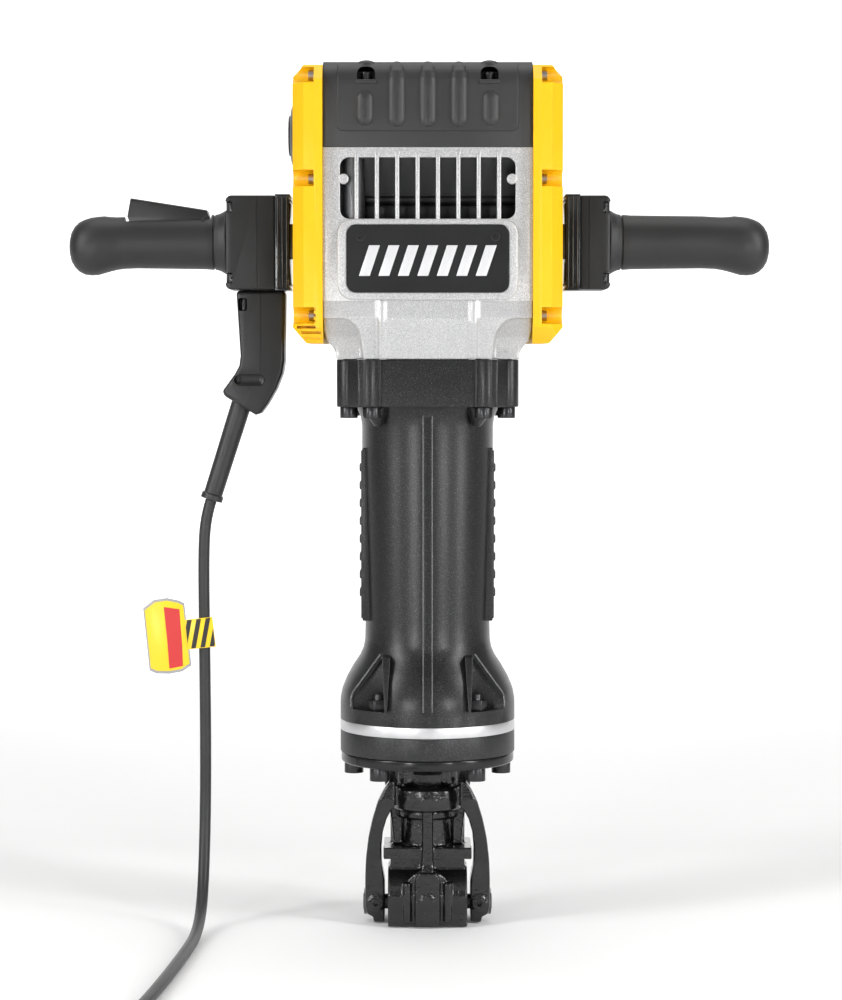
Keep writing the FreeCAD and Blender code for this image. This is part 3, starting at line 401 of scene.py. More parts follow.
class Wire:
    # one socket; arithmetic on it adds Math nodes
    def __init__(self, finish, socket):
        self.finish = finish
        self.socket = socket

    def maths(self, how, first, second):
        return self.finish.add("ShaderNodeMath", {"operation": how}, {0: first, 1: second})

    def __add__(self, other):
        return self.maths("ADD", self, other)

    def __radd__(self, other):
        return self.maths("ADD", other, self)

    def __sub__(self, other):
        return self.maths("SUBTRACT", self, other)

    def __rsub__(self, other):
        return self.maths("SUBTRACT", other, self)

    def __mul__(self, other):
        return self.maths("MULTIPLY", self, other)

    def __rmul__(self, other):
        return self.maths("MULTIPLY", other, self)


class Finish:
    # one material: a Principled shader and the nodes that feed it
    def __init__(self, name, **constants):
        self.material = bpy.data.materials.new(name)
        self.material.use_nodes = True
        self.tree = self.material.node_tree
        self.shader = self.tree.nodes["Principled BSDF"]
        for key, number in constants.items():
            self.shader.inputs[key.replace("_", " ")].default_value = number

    def add(self, kind, settings=None, values=None, out=0):
        node = self.tree.nodes.new(kind)
        for key, setting in (settings or {}).items():
            if key == "stops":
                for index, (place, colour) in enumerate(setting):
                    row = node.color_ramp.elements
                    stop = row[index] if index < 2 else row.new(place)
                    stop.position = place
                    stop.color = (*colour, 1)
            else:
                setattr(node, key, setting)
        for key, number in (values or {}).items():
            self.feed(node.inputs[key], number)
        return Wire(self, node.outputs[out])

    def feed(self, socket, number):
        if isinstance(number, Wire):
            self.tree.links.new(number.socket, socket)
        else:
            socket.default_value = number

    def place(self):
        return self.add("ShaderNodeTexCoord", out="Object")

    def axis(self, letter):
        return self.add("ShaderNodeSeparateXYZ", {}, {0: self.place()}, out="XYZ".index(letter))

    def noise(self, scale, detail=3.0, roughness=0.55, stretch=(1, 1, 1)):
        spot = self.place()
        if stretch != (1, 1, 1):
            spot = self.add("ShaderNodeMapping", {}, {"Vector": spot, "Scale": stretch})
        return self.add("ShaderNodeTexNoise", {}, {"Vector": spot, "Scale": scale, "Detail": detail,
                "Roughness": roughness})

    def blend(self, share, first, second):
        return self.add("ShaderNodeMix", {"data_type": "RGBA"}, {0: share, 6: self.opaque(first),
                7: self.opaque(second)}, out=2)

    def opaque(self, colour):
        return colour if isinstance(colour, Wire) else (*colour, 1)

    def ramp(self, share, stops):
        return self.add("ShaderNodeValToRGB", {"stops": stops}, {0: share})

    def grain(self, height, strength, distance):
        bump = self.add("ShaderNodeBump", {}, {"Height": height, "Strength": strength, "Distance": distance})
        self.feed(self.shader.inputs["Normal"], bump)

    def use(self, **wires):
        for key, wire in wires.items():
            self.feed(self.shader.inputs[key.replace("_", " ")], wire)
        return self.material


def studioWhite():
    paint = Finish("studioWhite", Roughness=0.9, Emission_Strength=1.0)
    tone = paint.noise(1.5) * 0.01 + (studio["floor"] - 0.005)
    # the sweep glows more towards the back, so that floor and backdrop melt into one white
    away = paint.ramp(paint.axis("Y") * 0.25, [(0.1, (studio["glow"],) * 3),
            (0.8, (studio["glow"] + studio["far"],) * 3)])
    return paint.use(Base_Color=tone, Emission_Color=away)


def moulded(name, dark, light, rough, grainScale=2600, grainDepth=0.00006, strength=0.35):
    # moulded plastic: faint cloudiness, a fine spark-eroded grain and uneven gloss
    paint = Finish(name, Specular_IOR_Level=0.45)
    cloud = paint.noise(22, 4)
    fine = paint.noise(grainScale, 2)
    paint.grain(fine, strength, grainDepth)
    colour = paint.blend(cloud * 0.8 + fine * 0.3, dark, light)
    return paint.use(Base_Color=colour, Roughness=cloud * 0.10 + fine * 0.08 + (rough - 0.09))


def metallic(name, dark, light, rough, metal=0.9, lines=0, scale=900):
    # machined or plated steel, with turning lines across Z when lines is set
    paint = Finish(name, Metallic=metal)
    wear = paint.noise(60, 5)
    if lines:
        fine = paint.noise(lines, 2, stretch=(0.02, 0.02, 1))
    else:
        fine = paint.noise(scale, 3)
    paint.grain(fine, 0.15, 0.00004)
    colour = paint.blend(wear * 0.5 + fine * 0.5, dark, light)
    return paint.use(Base_Color=colour, Roughness=fine * 0.16 + wear * 0.08 + (rough - 0.12))


def silverPaint():
    # pale metallic paint over a fine casting, with a sparkle of flakes
    paint = Finish("silverPaint", Specular_IOR_Level=0.5)
    flake = paint.noise(1900, 1.5, 0.7)
    cloud = paint.noise(30, 4)
    sparkle = paint.ramp(flake, [(0.34, (0.26, 0.26, 0.265)), (0.5, (0.50, 0.50, 0.505)),
            (0.62, (0.66, 0.66, 0.66)), (0.74, (0.90, 0.90, 0.90))])
    colour = paint.blend(cloud * 0.25, sparkle, (0.55, 0.55, 0.555))
    paint.grain(flake + cloud * 0.4, 0.18, 0.00008)
    return paint.use(Base_Color=colour, Roughness=flake * 0.16 + 0.28, Metallic=flake * 0.3 + 0.28)


def powderCoat(name, base, light, rough):
    # dark powder coat: a fine pebble with paler metallic specks
    paint = Finish(name, Specular_IOR_Level=0.5)
    speck = paint.noise(1250, 2, 0.75)
    pebble = paint.noise(700, 3)
    shade = paint.ramp(speck, [(0.4, base), (0.54, base), (0.70, light), (0.85, light)])
    paint.grain(pebble, 0.28, 0.00012)
    return paint.use(Base_Color=shade, Roughness=pebble * 0.2 + (rough - 0.1), Metallic=speck * 0.5)


def castBlack(name, depth, scale, rough):
    # thick gloss paint over a rough sand casting
    paint = Finish(name, Coat_Roughness=0.08, Specular_IOR_Level=0.45)
    sand = paint.noise(scale, 2, 0.5)
    lump = paint.noise(scale * 0.22, 2)
    paint.grain(sand + lump * 1.4, 0.8, depth)
    colour = paint.blend(sand, (0.002, 0.002, 0.0022), (0.008, 0.008, 0.0085))
    return paint.use(Base_Color=colour, Roughness=sand * 0.12 + (rough - 0.04), Coat_Weight=lump * 0.4 + 0.2)


finishes = {
    "yellow": moulded("yellowPlastic", (0.80, 0.43, 0.001), (0.90, 0.50, 0.002), 0.36, 1400, 0.00003, 0.2),
    "cover": moulded("coverPlastic", (0.016, 0.016, 0.0165), (0.030, 0.030, 0.031), 0.44),
    "handle": moulded("handlePlastic", (0.005, 0.005, 0.0052), (0.013, 0.013, 0.0135), 0.36),
    "grip": moulded("gripRubber", (0.010, 0.010, 0.0105), (0.020, 0.020, 0.0205), 0.48, 3200, 0.00005, 0.3),
    "dome": moulded("domePlastic", (0.012, 0.012, 0.0125), (0.022, 0.022, 0.0225), 0.40),
    "baffle": moulded("bafflePlastic", (0.008, 0.008, 0.0085), (0.018, 0.018, 0.0185), 0.42),
    "badge": moulded("badgePlastic", (0.007, 0.007, 0.0075), (0.013, 0.013, 0.0135), 0.32, 900, 0.00002, 0.1),
    "cord": moulded("cordRubber", (0.014, 0.014, 0.015), (0.030, 0.030, 0.031), 0.44, 1500, 0.00005),
    "silver": silverPaint(),
    "barrel": powderCoat("barrelPowder", (0.010, 0.010, 0.0105), (0.085, 0.085, 0.088), 0.33),
    # a paler coat for the barrel's edge lines and pocket rims: a painted highlight where the black powder
    # coat catches the light
    "barrelEdgeHighlight": powderCoat("barrelEdgeHighlight", (0.10, 0.10, 0.104), (0.26, 0.26, 0.265), 0.34),
    "lowerRing": powderCoat("ringPowder", (0.016, 0.016, 0.0165), (0.09, 0.09, 0.093), 0.40),
    "castNose": castBlack("castNose", 0.0008, 330, 0.17),
    "glossBracket": castBlack("glossBracket", 0.00015, 260, 0.16),
    "machinedBlack": metallic("machinedBlack", (0.016, 0.016, 0.0165), (0.035, 0.035, 0.036), 0.20, 0.6, 900),
    "band": metallic("turnedBand", (0.50, 0.50, 0.51), (0.80, 0.80, 0.81), 0.40, 0.9, 1500),
    "blackSteel": metallic("blackSteel", (0.020, 0.020, 0.021), (0.075, 0.075, 0.078), 0.30, 0.85),
    "zinc": metallic("zincScrew", (0.30, 0.28, 0.26), (0.55, 0.52, 0.50), 0.34, 1.0),
    "steel": metallic("brightSteel", (0.48, 0.48, 0.49), (0.72, 0.72, 0.73), 0.26, 1.0),
    "print": metallic("silverPrint", (0.58, 0.58, 0.59), (0.76, 0.76, 0.77), 0.4, 0.35),
    "core": metallic("coreSteel", (0.08, 0.08, 0.085), (0.2, 0.2, 0.21), 0.45, 0.9),
    "copper": metallic("copper", (0.50, 0.23, 0.10), (0.75, 0.40, 0.22), 0.3, 1.0),
    "alloy": metallic("lightAlloy", (0.13, 0.13, 0.135), (0.24, 0.24, 0.245), 0.42, 0.9),
}

# the finish of each slot, and of three nodes that differ from their slot
cadFinishes = {"bright_steel": "steel", "core_steel": "core", "copper": "copper", "light_alloy": "alloy",
    "dark_steel": "blackSteel", "spring_steel": "zinc", "black_plastic": "handle", "black_powder": "barrel",
    "black_cast": "castNose", "grip_rubber": "grip", "cord_rubber": "cord", "badge_black": "badge",
    "silver_casting": "silver", "yellow_cover": "yellow", "grey_cover": "cover", "tie_plastic": "handle",
    "tag_card": "yellow", "side_cover_screws": "zinc", "badge_screws": "blackSteel", "lever_pin": "handle"}
print("finishes ready")


def dressCadNodes():
    # the mechanism inside keeps its exact shapes and gets its own metals
    slots = {row["node"]: row["material_slot"] for row in frame["record"]["subparts"]}
    for name, node in nodes.items():
        dress(node, cadFinishes.get(name) or cadFinishes[slots[name]])


# the route to the coil repeats the solid's own; the rest of the line is wound by windCoil
cordFacts = {"diameter": 10.5, "length": 5.0, "exit": (-199.5, 0, 391), "centre": (-190, -570),
    "rings": (44.6, 55.4, 66.2, 77.0), "layers": (5.3, 16.1, 26.9), "plug": (-198, -630, 49.7), "step": 14.4}
cordRoute = [(-199.5, 0, 391), (-204.6, 0, 375), (-206.6, 0, 342), (-206.2, 0.5, 276), (-205.2, 0, 160),
    (-206, -2, 84), (-206.5, -30, 22), (-207, -92, 5.3), (-211.5, -170, 5.3), (-218.6, -262, 5.3),
    (-227.1, -350, 5.3), (-236.4, -424, 5.3), (-248.7, -482, 5.3), (-265.4, -526, 5.3)]


def windCoil():
    # each row: the winding angle from where the lead joins, the ring's radius and its height
    a, b, c, d = cordFacts["rings"]
    low, second, third = cordFacts["layers"]
    rows = [(0, 87.4, low), (72, d, low), (360, d, low), (432, c, low), (720, c, low), (792, b, low),
            (1040, b, low), (1152, a, low), (1340, a, low), (1460, a, second), (1656, a, second),
            (1768, b, second), (2016, b, second), (2088, c, second), (2376, c, second), (2448, d, second),
            (2664, d, second), (2736, d, third), (2952, d, third), (3024, c, third), (3312, c, third),
            (3384, b, third), (3556, b, third), (3702, 60, cordFacts["plug"][2])]
    points = []
    turn = cordFacts["step"]
    while turn < rows[-1][0]:
        for before, after in zip(rows, rows[1:]):
            if before[0] <= turn <= after[0]:
                share = (turn - before[0]) / (after[0] - before[0])
                share = share * share * (3 - 2 * share)
                radius = before[1] + (after[1] - before[1]) * share
                height = before[2] + (after[2] - before[2]) * share
        angle = math.radians(150 + turn)
        points.append((cordFacts["centre"][0] + radius * math.cos(angle),
                cordFacts["centre"][1] + radius * math.sin(angle), height))
        turn += cordFacts["step"]
    return points + [cordFacts["plug"]]


def makeCord():
    bpy.ops.curve.primitive_nurbs_path_add(location=(0, 0, 0))
    line = bpy.context.object
    line.name = "powerCord"
    points = cordRoute + windCoil()
    line.data.splines.clear()
    spline = line.data.splines.new("NURBS")
    spline.points.add(len(points) - 1)
    for knot, point in zip(spline.points, points):
        knot.co = (*(Vector(point) * mm), 1)
    spline.order_u = 3
    spline.use_endpoint_u = True
    spline.resolution_u = 6
    line.data.bevel_depth = cordFacts["diameter"] / 2 * mm
    line.data.bevel_resolution = 4
    line.data.use_fill_caps = True
    line.data.materials.append(finishes["cord"])
    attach(line, "root")
    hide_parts("cord_lead", "cord_coil")
    return line


def makeCordPieces():
    plug = copyOfNode("cord_plug", "powerPlug")
    roundEdges(plug, 1.2, 3)
    collars = []
    for number, start in enumerate((-208.8, -205.0, -201.2, -197.6)):
        outer = 7.6 + number * 0.7
        collars.append(turned("plugRib", [(5.0, start), (outer, start), (outer, start + 2.4),
                (5.0, start + 2.4)], "X", (0, *cordFacts["plug"][1:]), 48))
    ridges = [block("plugGrip", (x, -649.6, 39.6), (x + 2.4, -610.4, 59.8), 0.9) for x in (-190, -184, -178,
            -172)]
    plug = merged([plug] + collars + ridges)
    settle(plug, "powerPlug", "root", "cord", ["cord_plug"])
    east, middle = -151.2, cordFacts["centre"][1]
    band = block("cordTie", (east - 1, middle - 6, 0.1), (east + 44, middle + 6, 34.4))
    softenAlong(band, "Y", 6)
    inner = block("tieHole", (east, middle - 8, 1.0), (east + 43, middle + 8, 33.5))
    softenAlong(inner, "Y", 5.2)
    carve(band, [inner])
    lock = block("tieLock", (east + 41.2, middle - 5.4, 22), (east + 46.6, middle + 5.4, 30), 1)
    band = merged([band, lock])
    settle(band, "cordTie", "root", "handle", ["cord_tie"])
    return [plug, band]


housing = {"half": 93, "front": 94, "top": 708, "seam": 572, "wall": 7, "window": (77.6, 645, 699),
    "windowCorner": 8, "finPitch": 18, "finWidth": 3.7, "finTop": 704, "boss": (74.5, 680, 4.6),
    "frameOuter": (79.8, 573.2, 644.8, 14), "frameInner": (72.4, 579.2, 640.3, 9)}


def roundedPlate(name, half, low, high, corner, near, far, bevel=0):
    plate = block(name, (-half, near, low), (half, far, high))
    softenAlong(plate, "Y", corner, 8)
    if bevel:
        roundEdges(plate, bevel, 4)
    return plate


def makeHousing():
    half, front, wall = housing["half"], housing["front"], housing["wall"]
    body = block("mainHousing", (-half, -front, housing["seam"]), (half, front, housing["top"]))
    carve(body, [block("hollow", (wall - half, wall - front, 560), (half - wall, front - wall, 720))])
    wide, low, high = housing["window"]
    carve(body, [roundedPlate("window", wide, low, high, housing["windowCorner"], -front - 5, front + 5)])
    carve(body, [bar("capHole", (-100, 0, 725), (-80, 0, 725), 40, 96)])
    roundEdges(body, 0.9, 3)
    details = []
    for number in range(8):
        x = (number - 3.5) * housing["finPitch"]
        fin = block("fin", (x - housing["finWidth"] / 2, -front - 0.9, low - 2),
                (x + housing["finWidth"] / 2, -front + 11, housing["finTop"]), 1.3)
        cap = bar("finCap", (x, -front - 0.9, housing["finTop"] - 1.2),
                (x, -front + 6, housing["finTop"] - 1.2), 2.5, 32, 0.8)
        details += [fin, cap]
    for end in (-1, 1):
        across, height, radius = housing["boss"]
        details.append(bar("boss", (end * across, -front - 0.6, height), (end * across, -front + 9, height),
                radius, 40, 1))
    frame = roundedPlate("badgeFrame", *housing["frameOuter"], -front - 2.5, -front + 3, 1.5)
    carve(frame, [roundedPlate("badgeWell", *housing["frameInner"], -front - 6, -front + 6)])
    details.append(frame)
    lugs = []
    for end in (-1, 1):
        for low in (573, 677):
            lug = block("guideLug", (end * (half - 1), -9, low), (end * 114, 9, low + 6), 1)
            lugs.append(carve(lug, [bar("lugEye", (end * 106, 0, low - 1), (end * 106, 0, low + 7), 4)]))
    body = merged([body] + bothSides(details) + lugs)
    shoulder = makeShoulder()
    body = merged([body, shoulder])
    settle(body, "mainHousing", "root", "silver", ["main_housing"], 42)
    baffle = slabYZ("airBaffle", [(-84, 701), (-79, 690), (-71.5, 672), (-66.5, 656), (-65, 643), (-63, 643),
            (-64.5, 656), (-69.5, 672), (-77, 690), (-82, 701)], -57, 80)
    roundEdges(baffle, 4, 6, 10)
    lip = slabYZ("baffleLip", [(-72, 664), (-70.5, 660), (-66, 657), (-64, 662), (-68, 668)], -57, 80, 1.4)
    baffle = merged(bothSides([baffle, lip]))
    settle(baffle, "airBaffle", "root", "baffle", (), 60)
    tubes = merged(bothSides([bar("coolingPillar", (-66, -76, 643), (-66, -76, 701), 10, 48, 1),
            block("pillarWeb", (-85, -72, 643), (-57, -69, 701), 0.6)]))
    settle(tubes, "coolingPillars", "root", "alloy")


def makeShoulder():
    # the lower casting that narrows from the gear box to the collar, melted into one with soft corners
    top, low = 590, 521
    parts = [block("slab", (-92.6, -93.6, 557), (92.6, 93.6, top))]
    # the front apron narrows in two concave sweeps and slopes back to the collar
    apron = slabXZ("apron", bothWays([(58, low), (59, 536), (61, 545), (64.5, 551), (69.5, 555), (77, 557.5),
            (92.4, 558.5), (92.4, top)]), -95, 95)
    slope = slabYZ("slope", bothWays([(78.6, low), (84, 534), (90.5, 549), (93.3, 558), (93.3, top)]), -95,
            95)
    parts.append(carve(apron, [slope], "INTERSECT"))
    waist = slabXZ("waist", bothWays([(82, low), (82.2, 527), (85, 532), (90.5, 538), (92.4, 546),
            (92.4, 562)]), -90, 90)
    flank = slabYZ("flank", bothWays([(72, low), (72.5, 531), (76, 541), (84, 550), (92, 558)]), -95, 95)
    parts.append(carve(waist, [flank], "INTERSECT"))
    for side in (-1, 1):
        for back in (-1, 1):
            parts.append(bar("lobe", (side * 70, back * 60, low), (side * 70, back * 60, 546), 11.8, 48))
    column = [(60, low), (80.8, low), (94.6, 556), (94.6, 574), (60, 580)]
    ridge = [(60, low), (82.4, low), (95.9, 553), (95.9, 573.5), (60, 578)]
    for back in (-1, 1):
        parts.append(slabYZ("column", flipped(column, back), -42, 42))
        for side in (-1, 1):
            parts.append(slabYZ("ridge", flipped(ridge, back), side * 38.4, side * 43.6))
    casting = merged(parts)
    castSkin(casting, 1.3, 4)
    carve(casting, [block("gearRoom", (-85.5, -66, 541), (85.5, 66, 600))])
    carve(casting, [block("trim", (-120, -120, 505), (120, 120, low))])
    carve(casting, [block("openTop", (-86, -87, 576), (86, 87, 600))])
    carve(casting, [bar("cylinderWay", (0, 0, 510), (0, 0, 560), 38.2, 96)])
    return casting


badge = {"bars": 7, "pitch": 17.2, "width": 9.6, "lean": 9, "low": 594.5, "high": 621.5}


def makeBadge():
    # a row of plain slanted bars in place of the maker's word
    bars = []
    for number in range(badge["bars"]):
        x = (number - (badge["bars"] - 1) / 2) * badge["pitch"]
        half, lean = badge["width"] / 2, badge["lean"] / 2
        bars.append(slabXZ("badgeBar", [(x - half - lean, badge["low"]), (x + half - lean, badge["low"]),
                (x + half + lean, badge["high"]), (x - half + lean, badge["high"])], -96.1, -95.4, 0.2))
    settle(merged(bars), "badgeBars", "root", "print")
    sockets = [bar("screwRim", (x, -95.5, 629), (x, -95.9, 629), 4.3, 40, 0.15) for x in (-59.5, 59.5)]
    settle(merged(sockets), "badgeScrewSeats", "root", "baffle")


topCover = {"front": 94, "low": 708, "high": 785, "shoulder": 24, "panel": (80, 722), "ribWidth": 10,
    "ribs": (-27.5, 0, 27.5), "shortRibs": (-55.6, 55.6), "wells": 54.5}


def coverWell(side, back):
    x = side * topCover["wells"]
    well = block("well", (x - 7.9, back * 77.5, 767.3), (x + 7.9, back * 108, 779.2))
    return softenAlong(well, "Y", 6, 6, lambda spot: spot.z > 775)


def makeTopCover():
    front, low, high, soft = (topCover[key] for key in ("front", "low", "high", "shoulder"))
    profile = bothWays([(front, low)] + arc((front - soft, high - soft), soft, 0, 90, 10))
    shell = slabYZ("topCover", profile, -93, 93)
    inner = bothWays([(88, low - 1)] + arc((66, 757), 22, 0, 90, 8))
    carve(shell, [slabYZ("coverRoom", inner, -88, 88)])
    carve(shell, [bar("capHole", (-100, 0, 725), (-80, 0, 725), 40, 96)])
    roundEdges(shell, 0.8, 3)
    half, panelLow = topCover["panel"]
    raised = []
    skin = [(front + 1.2, panelLow)] + arc((front - soft, high - soft), soft + 1.2, 0, 62, 8)
    skin += [(front - 16, high - 12), (front - 6, panelLow + 30), (front - 3, panelLow)]
    panel = slabYZ("coverPanel", [(-y, z) for y, z in skin], -half, half)
    softenAlong(panel, "Y", 5, 5, lambda spot: spot.z < panelLow + 3)
    roundEdges(panel, 1.1, 4, 40)
    raised.append(panel)
    wide = topCover["ribWidth"]
    for x in topCover["ribs"]:
        path = [(x, -front + 5.3, 733)]
        for angle, sink in ((0, 5.3), (14, 5.4), (28, 5.8), (42, 6.6), (56, 7.7), (68, 8.9)):
            lean = math.radians(angle)
            path.append((x, -front + soft - (soft - sink) * math.cos(lean),
                    high - soft + (soft - sink) * math.sin(lean)))
        raised.append(pill("longRib", path, wide))
    for x in topCover["shortRibs"]:
        raised.append(pill("shortRib", [(x, -front + 5.3, 734), (x, -front + 5.3, 750)], wide))
    carve(panel, [coverWell(-1, -1), coverWell(1, -1)])
    for side in (-1, 1):
        x = side * topCover["wells"]
        tower = merged([bar("wellTower", (x, -76.5, 760), (x, -76.5, 784), 9.6, 48, 2),
                ball("wellDome", (x, -77, 782.2), (8.4, 9, 3.6))])
        raised.append(carve(tower, [coverWell(side, -1)], overlapping=True))
        raised.append(block("wellLip", (x - 9.3, -96.2, 763.6), (x + 9.3, -80, 767.2), 1.1))
        carve(shell, [coverWell(side, -1), coverWell(side, 1)])
    cover = merged([shell] + bothSides(raised))
    settle(cover, "topCover", "root", "cover", ["top_cover"], 40)


def makeSideCovers():
    for side, label in ((-1, "Left"), (1, "Right")):
        cover = copyOfNode("side_cover_" + label.lower(), "sideCover" + label)
        for back in (-1, 1):
            chamfer = [(side * 109, back * 101), (side * 109.4, back * 100.1), (side * 119.7, back * 88),
                    (side * 121, back * 86), (side * 125, back * 101)]
            carve(cover, [slabXY("chamfer", chamfer, 520, 800)])
        roundEdges(cover, 1.1, 3, 24)
        if side < 0:
            # the deep vent slots low on the left
            for low in (538.5, 543.3):
                carve(cover, [block("vent", (-112, -102, low), (-94.5, -90, low + 2.2), 0.6)])
        settle(cover, "sideCover" + label, "root", "yellow", ["side_cover_" + label.lower()],
                30)
    dome = turned("motorEndCap", [(0, -126.4), (14, -126), (25, -124.4), (32, -121.6), (37, -117.5),
            (39.5, -113), (39.5, -88), (0, -88)], "X", (0, 0, 725), 96, False)
    roundEdges(dome, 0.8, 2, 45)
    rings = [turned("capGroove", [(radius, -126.7), (radius + 1.2, -126.9), (radius + 2.4, -126.2),
            (radius + 2.4, -122), (radius, -122)], "X", (0, 0, 725), 96) for radius in (8, 16)]
    settle(merged([dome] + rings), "motorEndCap", "root", "dome", ["motor_end_cap"], 40)


barrel = {"skin": [(50, 190.2), (80.4, 190.2), (80.4, 205), (80.1, 210), (78.6, 218), (74.2, 229), (68, 240),
    (62, 249), (59, 256), (57.6, 264), (57.2, 285), (60.3, 430), (60.3, 460), (61.4, 468), (64.2, 474.5),
    (68.5, 478.5), (68.5, 500), (50, 500)], "padRows": 8, "padPitch": 16.4, "boltCircle": 68,
    "through": (50, 130, 230, 310)}


def onBoltCircle(turn):
    angle = math.radians(turn)
    return barrel["boltCircle"] * math.cos(angle), barrel["boltCircle"] * math.sin(angle)


def flareRadius(height):
    skin = barrel["skin"]
    for (inner, low), (outer, high) in zip(skin[1:], skin[2:]):
        if low <= height <= high:
            return inner + (outer - inner) * (height - low) / max(high - low, 0.1)


def makeBarrel():
    tube = turned("barrelHousing", barrel["skin"], steps=128)
    pocket = [(41, 250), (66, 216.5), (68.2, 213), (68.2, 203.2), (37, 203.2)]
    for side in (-1, 1):
        for back in (-1, 1):
            tool = slabXZ("pocket", flipped(pocket, side), back * 38, back * 90)
            carve(tube, [tool])
    for turn in barrel["through"]:
        x, y = onBoltCircle(turn)
        carve(tube, [bar("nutSeat", (x, y, 203.2), (x, y, 220), 11.2, 48)])
    roundEdges(tube, 0.8, 3, 34)
    outline = bothWays([(62, -76.6), (80.6, -52), (80.6, 52), (62, 76.6)])
    collar = slabXY("collar", outline, 478, 520.8, 1.3)
    extras = [carve(collar, [bar("collarBore", (0, 0, 470), (0, 0, 530), 50, 128)])]
    strip = [(61.7, 474), (58.6, 262), (59.2, 257), (60.6, 254), (63.4, 249), (69.4, 240), (75.6, 229),
            (80, 218), (81.3, 210), (81.2, 204.5), (70, 203), (52, 262), (52, 474)]
    # the fine lines along both edges of each strip are thin pieces in a paler coat: a painted highlight on
    # the black barrel
    edge = [(y + (0.55 if z < 475 and y > 55 else 0), z) for y, z in strip]
    wedge = [(46, 253.5), (60, 252), (75, 219), (77.2, 204), (60, 204), (44, 240)]
    edges = []
    for back in (-1, 1):
        extras.append(slabYZ("strip", flipped(strip, back), -3.8, 3.8, 0.4))
        for side in (-1, 1):
            edges.append(slabYZ("stripEdgeHighlight", flipped(edge, back), side * 3.5, side * 4.7, 0.35))
            web = slabXZ("web", [(side * x, z) for x, z in ((41.2, 253), (33.6, 253), (36.6, 204),
                    (39, 204))], back * 40, back * 80)
            carve(web, [slabYZ("webSide", flipped(wedge, back), -50, 50)], "INTERSECT")
            roundEdges(web, 0.7)
            extras.append(web)
            # a thin bead along each pocket's rim, also in the paler coat: a painted highlight
            rim = []
            for x, z in ((43, 252.5), (48, 245.6), (53, 238.8), (58, 231.9), (63, 225), (67, 219.5),
                    (69, 215.5), (69.6, 211), (69.6, 205.5)):
                reach = math.sqrt(max(flareRadius(z) ** 2 - x * x, 100))
                rim.append((side * x, back * (reach - 0.2), z))
            edges.append(pill("pocketRimHighlight", rim, 1.05))
            extras.append(slabXY("collarRidge", [(side * x, back * y) for x,
                    y in ((41.2, 70), (41.2, 76.8), (42.3, 78.4), (43.6, 78.4), (44.6, 77), (44.6, 70))],
                    478.4, 520.6, 0.4))
            for across, along, size in ((52.2, 66.2, 11.6), (69.8, 51.5, 12.2)):
                spot = (side * across, back * along)
                extras.append(bar("collarLobe", (*spot, 478), (*spot, 520.8), size, 48, 1.2))
            extras.append(bar("collarGusset", (side * 47, back * 52, 479), (side * 44, back * 47, 461), 12.5,
                    32, 1, 4))
        # plain bars on the side pads in place of letters
        pad = block("sidePad", (back * 50, -20, 283.5), (back * 60.9, 20, 438), 1.2)
        step = block("padRim", (back * 50, -21.5, 281.5), (back * 59.6, 21.5, 440), 1)
        extras += [pad, step]
        for row in range(barrel["padRows"]):
            height = 303 + row * barrel["padPitch"]
            extras.append(block("padBar", (back * 58, -12, height), (back * 62.5, 12, height + 8), 1.6))
    # the edge lines and rim beads together, in the paler coat that paints their highlight
    settle(merged(edges), "barrelEdgeHighlights", "root", "barrelEdgeHighlight", (), 36)
    tube = merged([tube] + extras)
    settle(tube, "barrelHousing", "root", "barrel", ["barrel_housing"], 36)
    clamp = turned("clampRing", [(50, 180.4), (80.4, 180.4), (80.4, 190.2), (50, 190.2)], steps=160)
    roundEdges(clamp, 0.5, 2)
    settle(clamp, "clampRing", "root", "band", ["clamp_ring"])
    lower = turned("lowerRing", [(50, 160), (80.4, 160), (80.4, 180.4), (50, 180.4)], steps=160)
    roundEdges(lower, 1, 3)
    settle(lower, "lowerRing", "root", "lowerRing", ["lower_ring"])
    for node, name, soft in (("nose_bolts", "noseBolts", 0.9), ("collar_bolts", "collarBolts", 0.8),
            ("flange_nuts", "flangeNuts", 0.9)):
        bolts = copyOfNode(node, name)
        roundEdges(bolts, soft, 2, 40)
        settle(bolts, name, "root", "blackSteel", [node])


nose = {"plate": (150.6, 160, 79.6), "voxel": 1.0}


